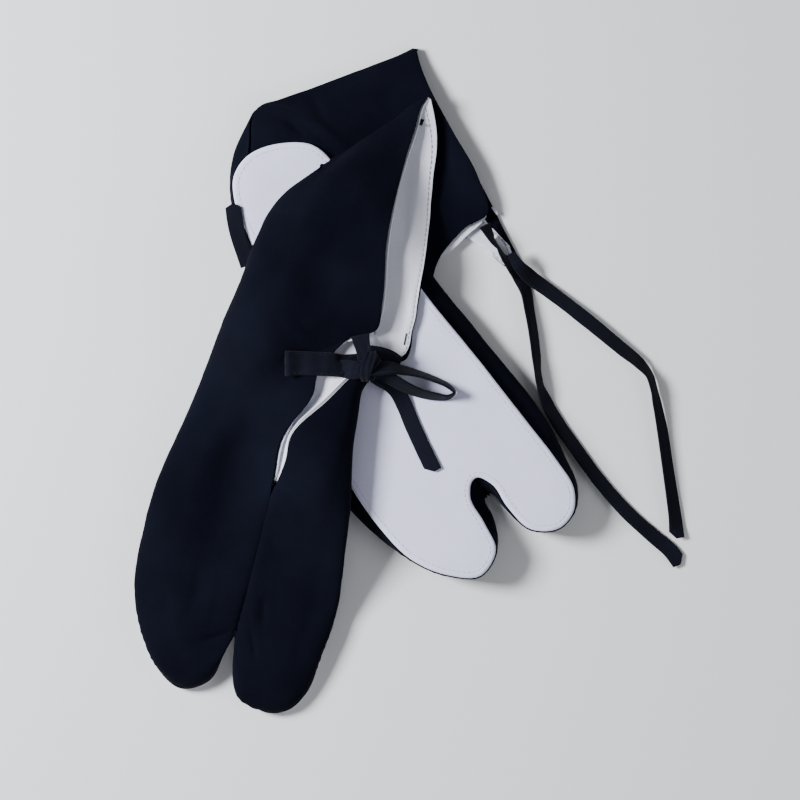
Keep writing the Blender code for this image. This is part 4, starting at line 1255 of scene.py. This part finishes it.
def inset(outline, depth):
    """An outline moved inward along its own normals."""
    runs = unit(np.roll(outline, -1, axis=0) - np.roll(outline, 1, axis=0))
    return outline + depth * np.column_stack([-runs[:, 1], runs[:, 0]])


def sole_height(spots, outline):
    """Half the sole's thickness and its unevenness at each place of its own plane."""
    within = inside_distance(spots, outline)
    edge = np.clip(1.0 - within / SOLE_ROUND, 0.0, 1.0)
    half = SOLE_WALL / 2 * (SOLE_LIP + (1.0 - SOLE_LIP) * np.sqrt(1.0 - edge ** 2))
    flat = np.column_stack([spots, np.zeros(len(spots))])
    height, reach, fineness = SOLE_PUCKER
    pucker = height * noise_field(flat, fineness, 2.0) * hump(within - SOLE_STITCH, reach)
    depth, reach = SOLE_GROOVE
    groove = depth * hump(within - SOLE_STITCH, reach)
    wave = unevenness(flat, SOLE_WAVES) * smooth(within / SOLE_EVEN)
    return half - groove, pucker + wave


def plan_area(outline):
    """The area inside an outline, positive where it runs anticlockwise."""
    (x, y), (after_x, after_y) = outline.T, np.roll(outline, -1, axis=0).T
    return 0.5 * np.sum(x * after_y - after_x * y)


def flat_sole(outline):
    """A flat sheet inside an outline: rings at its edge and square cells in the middle."""
    shape = bmesh.new()
    rings = [[shape.verts.new((*spot, 0.0)) for spot in inset(outline, depth)] for depth in SOLE_RINGS]
    for outer, inner in zip(rings, rings[1:]):
        for i in range(len(outer)):
            k = (i + 1) % len(outer)
            shape.faces.new((outer[i], outer[k], inner[k], inner[i]))
    shape.faces.new(rings[-1])
    low, high = outline.min(axis=0), outline.max(axis=0)
    for axis in (0, 1):
        for place in np.arange(low[axis] + SOLE_CELL, high[axis], SOLE_CELL):
            centre, normal = [0.0] * 3, [0.0] * 3
            centre[axis], normal[axis] = float(place), 1.0
            everything = shape.verts[:] + shape.edges[:] + shape.faces[:]
            bmesh.ops.bisect_plane(shape, geom=everything, plane_co=centre, plane_no=normal)
    shape.verts.index_update()
    spots = np.array([vertex.co[:2] for vertex in shape.verts])
    faces = [[vertex.index for vertex in face.verts] for face in shape.faces]
    rim = [(edge.verts[0].index, edge.verts[1].index, edge.link_loops[0].vert.index)
           for edge in shape.edges if len(edge.link_faces) == 1]
    shape.free()
    return spots, faces, [(a, b) if first == a else (b, a) for a, b, first in rim]


def make_sole(sock, middle, visible_side):
    """A sole with its rounded edge, draped as its sock lies, and its row of stitches."""
    outline = sole_outline(sock, 6)
    if plan_area(outline) < 0:
        outline = outline[::-1]
    spots, faces, rim = flat_sole(outline)
    half, wave = sole_height(spots, outline)
    top, low = (place_sock(sock, np.column_stack([spots, middle + wave + side * half]))
                for side in (1, -1))
    count = len(spots)
    under = [[i + count for i in reversed(face)] for face in faces]
    sides = [(b, a, a + count, b + count) for a, b in rim]
    name, node = f"{sock.title()} sole", f"{sock}_sole"
    piece = make_piece(name, np.concatenate([top, low]), faces + under + sides, sole_cotton)
    join_part(piece, node)
    line = inset(outline, SOLE_STITCH)
    line = np.concatenate([line, line[:1]])
    half, wave = sole_height(line, outline)
    placed = place_sock(sock, np.column_stack([line, middle + wave + visible_side * half]))
    normals = np.tile((0.0, 0.0, float(visible_side)), (len(placed), 1))
    stitches = stitch_rows(name + " stitches", [(placed, normals)], sole_thread, node)
    print(name, len(piece.data.polygons), "faces, area", round(plan_area(outline) / 100.0), "cm2")


make_sole("left", LEFT_THICK - SOLE_WALL / 2, 1)
make_sole("right", SOLE_WALL / 2, -1)

# %% [markdown]
# Facings
#
# White cotton lines the mouth and the front slit.  A facing follows its upper closely on the
# inside, as far back from the edge as the hems table says.  Where that is negative, a hair of
# white is rolled past the twill.

# %% Facing surface
FACINGS = {                     # panel: first and last section, where in the section it starts
    ("right", "outer"): ("heel", "ball_mid", 10 / 12),
    ("right", "inner"): ("heel", "ball_mid", 5 / 12),
    ("left", "outer"): ("arch_back", "waist_front", 10 / 12),
    ("left", "inner"): ("arch_back", "waist", 10 / 12),
}
FACING_COLUMNS = 22
FACING_CROWD = 1.6              # above 1 the columns lie closer towards the edge
FACING_CLEARANCE = 0.30
ROLL_RISE = {"right": 0.55, "left": 0.2}        # how far a rolled edge rises for its width


def facing_surface(panel, surface):
    """Points just inside an upper, out to the facing's own edge."""
    first, last, share = FACINGS[panel]
    top, bottom = (station_row(name, PANELS[panel][0]) for name in (first, last))
    outward = surface_normals(surface) * OUTWARD[panel]
    inner = surface - outward * (WALL / 2 + FACING_CLEARANCE + FACING_WALL / 2)
    within = slice(top, bottom + 1), slice(round(share * (surface.shape[1] - 1)), None)
    inner, outward = inner[within], outward[within]
    back = set_back(panel)[within[0]]
    fade = smooth((len(back) - np.arange(len(back))) / (0.4 * ROW_STEPS))
    back = np.where(back > 0, back, back * fade)
    inward = unit(np.cross(outward[:, -1], np.gradient(inner[:, -1], axis=0)))
    inward *= np.sign(np.sum((inner[:, -4] - inner[:, -1]) * inward))
    grid, outs = [], []
    share = 1.0 - (1.0 - np.linspace(0.0, 1.0, FACING_COLUMNS)) ** FACING_CROWD
    for line, out, away, gap in zip(inner, outward, inward, back):
        run = run_along(line)
        places = share * (run[-1] + max(-gap, 0.0))
        beyond = np.maximum(places - run[-1], 0.0)[:, None]
        even = values_at(places, run, line)
        even += away * (max(gap, 0.0) * share ** 2)[:, None] - beyond * away
        grid.append(even + ROLL_RISE[panel[0]] * beyond * out[-1])
        outs.append(values_at(places, run, out))
    return np.array(grid), unit(np.array(outs))


# %% Facings
# Soft folds of the facing that shows in the open ankle: half width, lift, points on the plan
FACING_FOLDS = {
    ("right", "inner"): (
        (4.6, -1.1, ((30, 125), (25, 104), (22.6, 82), (21.5, 62))),
        (4.0, 0.6, ((36, 130), (33, 104), (31, 80), (29, 58))),
        (1.3, -0.45, ((28, 102), (26.6, 86), (26, 72))),
        (3.0, -0.5, ((24, 54), (26, 38), (23, 24))),
        (2.4, 0.4, ((31, 54), (30, 32))),
    ),
}
FACING_CLOTH = 0.8              # thickness of the white cloth itself, in the facing's wall
FACING_ROUND = 0.3              # rounding of its edges
STITCH_PULL = (0.16, 0.55)      # how deep a row of stitches lies in the facing, and how widely
FACING_GATHER = 0.10            # height of the gathers along it
FACING_GATHERS = (5.3, 4.0, 2.0, 3.0)       # spacing, wobble, where they are highest, reach
FOLD_START = 5.0                # the folds rise over this much cloth from the edge
FACING_STITCH = {               # from the facing's edge to its row of stitches
    ("right", "outer"): 2.6, ("right", "inner"): 2.2, ("left", "outer"): 2.4, ("left", "inner"): 2.4,
}


def make_facing(panel):
    """A facing and the row of stitches along its edge."""
    surface, outs = facing_surface(panel, UPPERS[panel][1])
    run = row_distance(surface, True)
    stitch = FACING_STITCH[panel]
    surface = surface + outs * (STITCH_PULL[0] * hump(run - stitch, STITCH_PULL[1]))[..., None]
    noisy = noise_field(surface, 0.12, 1.0)
    gather = gathers(surface[:, -1], run, noisy, *FACING_GATHERS)
    surface = surface + outs * (FACING_GATHER * gather)[..., None]
    folds = crease_lift(surface[..., :2], FACING_FOLDS.get(panel, ()), 0.03)
    lifted = surface[..., 2] + folds * smooth(run / FOLD_START)
    surface[..., 2] = np.maximum(lifted, FACING_WALL / 2)
    piece, name, node = make_sheet(panel, "facing", surface, facing_cotton)
    thicken(piece, FACING_CLOTH, fold=FACING_ROUND)
    join_part(piece, node)
    column = int(np.argmin(abs(run.mean(axis=0) - stitch)))
    line = surface[:, column] - outs[:, column] * (FACING_CLOTH / 2)
    stitches = stitch_rows(name + " stitches", [(line, -outs[:, column])], grey_thread, node)
    print(name, len(piece.data.polygons), "faces, shows", cloth_area(surface), "cm2")
    return piece


FACING_PIECES = {panel: make_facing(panel) for panel in FACINGS}

# %% [markdown]
# The underlap
#
# Under the front slit the big-toe side's facing is cut wider: a white flap carries on from the
# turned edge, slopes down and passes under the other side, so that no skin shows when the
# sock is tied.  It is lit near its own edge and falls into shade under the other one.

# %% Underlap
UNDERLAP_ROWS = ("waist_mid", "ball_mid")
UNDERLAP_COLUMNS = 16
UNDERLAP_PAST = 5.0             # how far it goes on under the other side
UNDERLAP_DROP, UNDERLAP_SLOPE = 2.5, 2.3        # how far below the cloth it starts, then sinks
UNDERLAP_BACK = 0.4             # how far behind the turned edge it starts
UNDERLAP_MARGIN = 1.0           # how far past the other edge it has sunk
UNDERLAP_END = 5.0              # rows over which it narrows to its lower end
UNDERLAP_WAVE = (0.25, 0.5, 3.0)            # a ripple: height, and turns by row and by share


def make_underlap():
    """The white flap from the big-toe side's edge of the slit to under the other one."""
    inner, outer = UPPERS["right", "inner"][1], UPPERS["right", "outer"][1]
    rows = PANELS["right", "inner"][0]
    top, bottom = (station_row(name, rows) for name in UNDERLAP_ROWS)
    far_edge = outer[:, -1]
    wave, by_row, by_share = UNDERLAP_WAVE
    grid = []
    for i in range(top + 2, bottom + 1):
        start = inner[i, -1]
        target = far_edge[np.argmin(np.linalg.norm(far_edge[:, :2] - start[:2], axis=1))]
        across = target - start
        reach = np.linalg.norm(across[:2])
        end = smooth((bottom + 1 - i) / UNDERLAP_END)
        line = []
        for share in np.linspace(0.0, 1.0, UNDERLAP_COLUMNS):
            out = share * (reach + UNDERLAP_MARGIN + UNDERLAP_PAST * end)
            spot = start + np.append(unit(across[:2]) * (out - UNDERLAP_BACK), 0.0)
            level = start[2] + (target[2] - start[2]) * min(1.0, out / reach)
            sunk = UNDERLAP_DROP + UNDERLAP_SLOPE * smooth(out / (reach + UNDERLAP_MARGIN))
            spot[2] = level - sunk + wave * math.sin(by_row * i + by_share * share)
            line.append(spot)
        grid.append(line)
    grid = np.array(grid)
    piece = make_piece("Right underlap", grid, grid_faces(*grid.shape[:2]), facing_cotton)
    thicken(piece, FACING_CLOTH)
    join_part(piece, "right_inner_facing", replaces=False)


make_underlap()

# %% [markdown]
# The band, the short ties and the knot
#
# A wider band crosses the instep to the knot.  One tie comes down from inside the shaft and
# one comes from the corner of the mouth.  They all run into the knot.  The band crosses two
# uppers and their creases, so its heights are felt from the dressed cloth itself, with a
# limit on how steeply it may come down from a high place.

# %% Tapes laid on dressed cloth
LAY_GAP = 0.12                  # how far a tape lies above the cloth
LAY_SLOPE = 0.45                # how steeply a laid tape may rise or fall
LAY_FEEL = 2.0                  # how far before and behind a point the cloth is felt


def height_over(pieces):
    """A function that gives the top of some dressed pieces over a place."""
    trees = [mesh_tree(piece.data) for piece in pieces]
    return lambda x, y: max([top_of(tree, x, y) or 0.0 for tree in trees])


def settle(rows, widths, over_pieces):
    """Rows of a tape with the height at which it lies on dressed pieces."""
    top = height_over(over_pieces)
    needs = []
    for (x, y, turn), width in zip(rows, widths):
        tops = [top(x - MIDDLE[0] + dx, y - MIDDLE[1] + dy) for dx in (-LAY_FEEL, 0.0, LAY_FEEL)
                for dy in np.linspace(-0.5, 0.5, 5) * width]
        needs.append(max(tops) + TAPE_WALL / 2 + LAY_GAP)
    for order in (range(1, len(rows)), range(len(rows) - 2, -1, -1)):
        for i in order:
            other = i - 1 if order.step > 0 else i + 1
            fall = LAY_SLOPE * math.dist(rows[i][:2], rows[other][:2])
            needs[i] = max(needs[i], needs[other] - fall)
    return tuple((*row, need) for row, need in zip(rows, needs))


# %% Band and short ties
RIGHT_UPPERS = [UPPERS["right", side][0] for side in ("outer", "inner")]
BAND_FOLDS = (                  # across the band: place along it, half width, lift
    (2.3, 0.5, 0.35), (3.6, 0.8, -0.2), (8.6, 1.4, -0.35), (14.0, 3.0, 0.5), (20.0, 1.8, -0.4),
    (28.0, 1.6, 0.4),
)
laid_tape("Band", settle(BAND, BAND_WIDTHS, RIGHT_UPPERS), "right_band", shares=(0.5, -0.5),
          widths=BAND_WIDTHS, ridges=0.12, folds=BAND_FOLDS)
laid_tape("Shaft tie", SHAFT_TIE, "right_shaft_tie", widths=SHAFT_WIDTHS, ridges=0.10)
laid_tape("Mouth tie", MOUTH_TIE, "right_mouth_tie", widths=MOUTH_WIDTHS, ridges=0.10)

# %% [markdown]
# Small trims
#
# Bar tacks, a few millimetres of close thick stitching, hold the cuff's corners.  Beside the
# lower sock's ties a hair of its white facing peeps out.  Both are too small to need a maker
# of their own: a short flat tape in thread or in facing cotton has the same shape.

# %% Bar tacks
BAR_TACKS = (                   # two ends on the plan, and the width
    ((35.9, 142.0), (34.6, 138.7), 1.9),
    ((27.0, 26.2), (25.8, 19.8), 0.7),
)
TACK_POINTS = 7


def make_bar_tacks():
    """Short bars of close thread where the cuff's corners are sewn down."""
    top = height_over([FACING_PIECES["right", "inner"], FACING_PIECES["right", "outer"]])
    points, faces = [], []
    for a, b, width in BAR_TACKS:
        plan = np.linspace(a, b, TACK_POINTS)
        heights = [max(top(x + dx * width, y) for dx in (-0.4, 0.0, 0.4)) for x, y in plan]
        spots = np.column_stack([plan, heights])
        flat, wide = np.zeros(TACK_POINTS), np.full(TACK_POINTS, width)
        made, around, _ = tape_mesh(spots, flat, wide, wall=0.6, ridges=0.1)
        add_mesh(points, faces, made, around)
    join_part(make_piece("Bar tacks", points, faces, dark_thread), "right_inner_facing", replaces=False)


make_bar_tacks()

# %% A facing's edge that peeps out
LIP = ((73.6, 94.1, 0, 2.9), (75.3, 92.1, 0, 3.1), (76.8, 90.0, 0, 2.9))
lip_points, lip_faces, _ = tape_mesh(*tape_route(LIP, None, (0.7, 1.3, 0.8)), wall=0.8)
lip = make_piece("Left peeping edge", lip_points, lip_faces, facing_cotton)
join_part(lip, "left_outer_facing", replaces=False)
print("lip:", len(lip_faces), "faces")

# %% [markdown]
# The knot
#
# A flat tape pulled tight into a knot is a small firm lump with turns of tape over it.  Tying
# it in a simulation would be slow, and would never look the same twice.  So a lumpy core
# stands for the hidden layers, and each turn that shows is a short tape laid over it:
# the widest comes in from the band, and one comes over the top and is tucked in below.

# %% Knot
KNOT = (6.0, 7.2, 39.6)
KNOT_RADII = (4.8, 5.0, 3.2)
KNOT_LUMPS = (0.06, 2.2)        # how lumpy the core is, and how fine the lumps are
CORE_RINGS, CORE_SIDES = 19, 32
WRAP_WALL, WRAP_RIDGES = 1.0, 0.22
WRAP_WAIST = 0.38               # how much narrower a turn is at its two ends
KNOT_WRAPS = (                  # turns of tape in the knot: points, and the tape's width
    (((9.0, 15.6, 38.0), (8.6, 13.8, 41.0), (7.6, 11.0, 43.2), (6.2, 7.6, 43.6),
      (5.4, 4.2, 42.6), (5.2, 1.6, 40.2), (5.2, -0.4, 36.6)), 6.4),
    (((1.8, 2.4, 37.6), (3.4, 4.6, 41.0), (6.0, 7.8, 42.9), (9.2, 10.8, 42.2), (12.2, 12.8, 39.0)), 8.0),
    (((2.2, 13.4, 37.4), (3.0, 10.6, 40.4), (3.4, 7.4, 41.2), (3.6, 4.2, 40.2), (3.8, 1.0, 37.6)), 4.4),
    (((-14.0, 6.6, 36.0), (-8.6, 6.4, 35.2), (-4.8, 6.1, 36.0), (-1.4, 5.6, 37.8),
      (2.0, 5.2, 38.4), (5.0, 5.0, 38.0)), 10.0),
    (((8.2, 8.4, 41.0), (8.6, 5.4, 41.0), (8.6, 2.6, 39.6), (8.0, 0.2, 36.8)), 4.6),
)


def lumpy_core():
    """A ball of rings with one point at each pole, pushed in and out by soft noise."""
    polar = np.linspace(0.0, math.pi, CORE_RINGS + 2)[1:-1, None]
    turn = np.arange(CORE_SIDES) * (2 * math.pi / CORE_SIDES)
    level = np.cos(polar) * np.ones(CORE_SIDES)
    rings = np.stack([np.sin(polar) * np.sin(turn), np.sin(polar) * np.cos(turn), level], axis=-1)
    points = np.concatenate([rings.reshape(-1, 3), [(0.0, 0.0, 1.0), (0.0, 0.0, -1.0)]])
    faces = grid_faces(CORE_RINGS, CORE_SIDES, closed=True)
    top, low, last = len(points) - 2, len(points) - 1, (CORE_RINGS - 1) * CORE_SIDES
    for j in range(CORE_SIDES):
        after = (j + 1) % CORE_SIDES
        faces += [(top, after, j), (low, last + j, last + after)]
    height, fineness = KNOT_LUMPS
    lumps = [1.0 + height * noise.noise(Vector(point * fineness)) for point in points]
    return points * KNOT_RADII * np.array(lumps)[:, None], faces


def make_knot():
    """A lumpy core with turns of tape wrapped round it, as one piece."""
    core, faces = lumpy_core()
    points = list(core + KNOT - (*MIDDLE, 0.0))
    for route, width in KNOT_WRAPS:
        spots = curve_through(route, 6) - (*MIDDLE, 0.0)
        share = np.linspace(0.0, 1.0, len(spots))
        wide = width * (1.0 - WRAP_WAIST + WRAP_WAIST * np.sin(math.pi * share) ** 0.6)
        made, around, _ = tape_mesh(spots, np.zeros(len(spots)), wide, WRAP_WALL, WRAP_RIDGES)
        add_mesh(points, faces, made, around)
    join_part(make_piece("Knot", points, faces, tape_twill), "right_knot")
    print("Knot", len(faces), "faces")


make_knot()

# %% [markdown]
# Floor and light
#
# A plain pale floor and three soft lights, as in a small studio.  The main one is a large
# panel up and to the left, so that an overhanging edge throws a soft shadow to its right; a
# weaker one opposite keeps the dark cloth's edges readable, and an even pale surround fills
# the rest.

# %% Floor and light
FLOOR_HALF = 2500
corners = [(x * FLOOR_HALF, y * FLOOR_HALF, 0) for x, y in ((-1, -1), (1, -1), (1, 1), (-1, 1))]
floor_look = bpy.data.materials.new("Pale floor")
floor_look.use_nodes = True
set_inputs(floor_look.node_tree.nodes["Principled BSDF"], {
    "Base Color": (0.80, 0.81, 0.82, 1.0), "Roughness": 0.9, "Specular IOR Level": 0.1})
make_piece("Floor", corners, [(0, 1, 2, 3)], floor_look)

LIGHTS = {                      # metres and watts: place, width, power
    "Main": ((-1.05, 0.24, 0.92), 0.42, 49.0),
    "Side": ((1.00, -0.35, 0.80), 0.60, 3.4),
    "Low": ((-0.20, -1.10, 0.60), 0.60, 2.4),
}
for title, (place, width, power) in LIGHTS.items():
    lamp = bpy.data.lights.new(title, "AREA")
    lamp.size = width
    lamp.energy = power
    lamp.color = (0.955, 0.965, 1.0)
    holder = bpy.data.objects.new(title, lamp)
    holder.location = place
    aim = Vector((0.0, 0.0, 0.02)) - Vector(place)
    holder.rotation_euler = aim.to_track_quat("-Z", "Y").to_euler()
    bpy.context.scene.collection.objects.link(holder)

world = bpy.data.worlds.new("Pale surround")
bpy.context.scene.world = world
world.use_nodes = True
set_inputs(world.node_tree.nodes["Background"], {"Color": (0.93, 0.96, 1.0, 1.0), "Strength": 0.20})
print("lights:", list(LIGHTS))
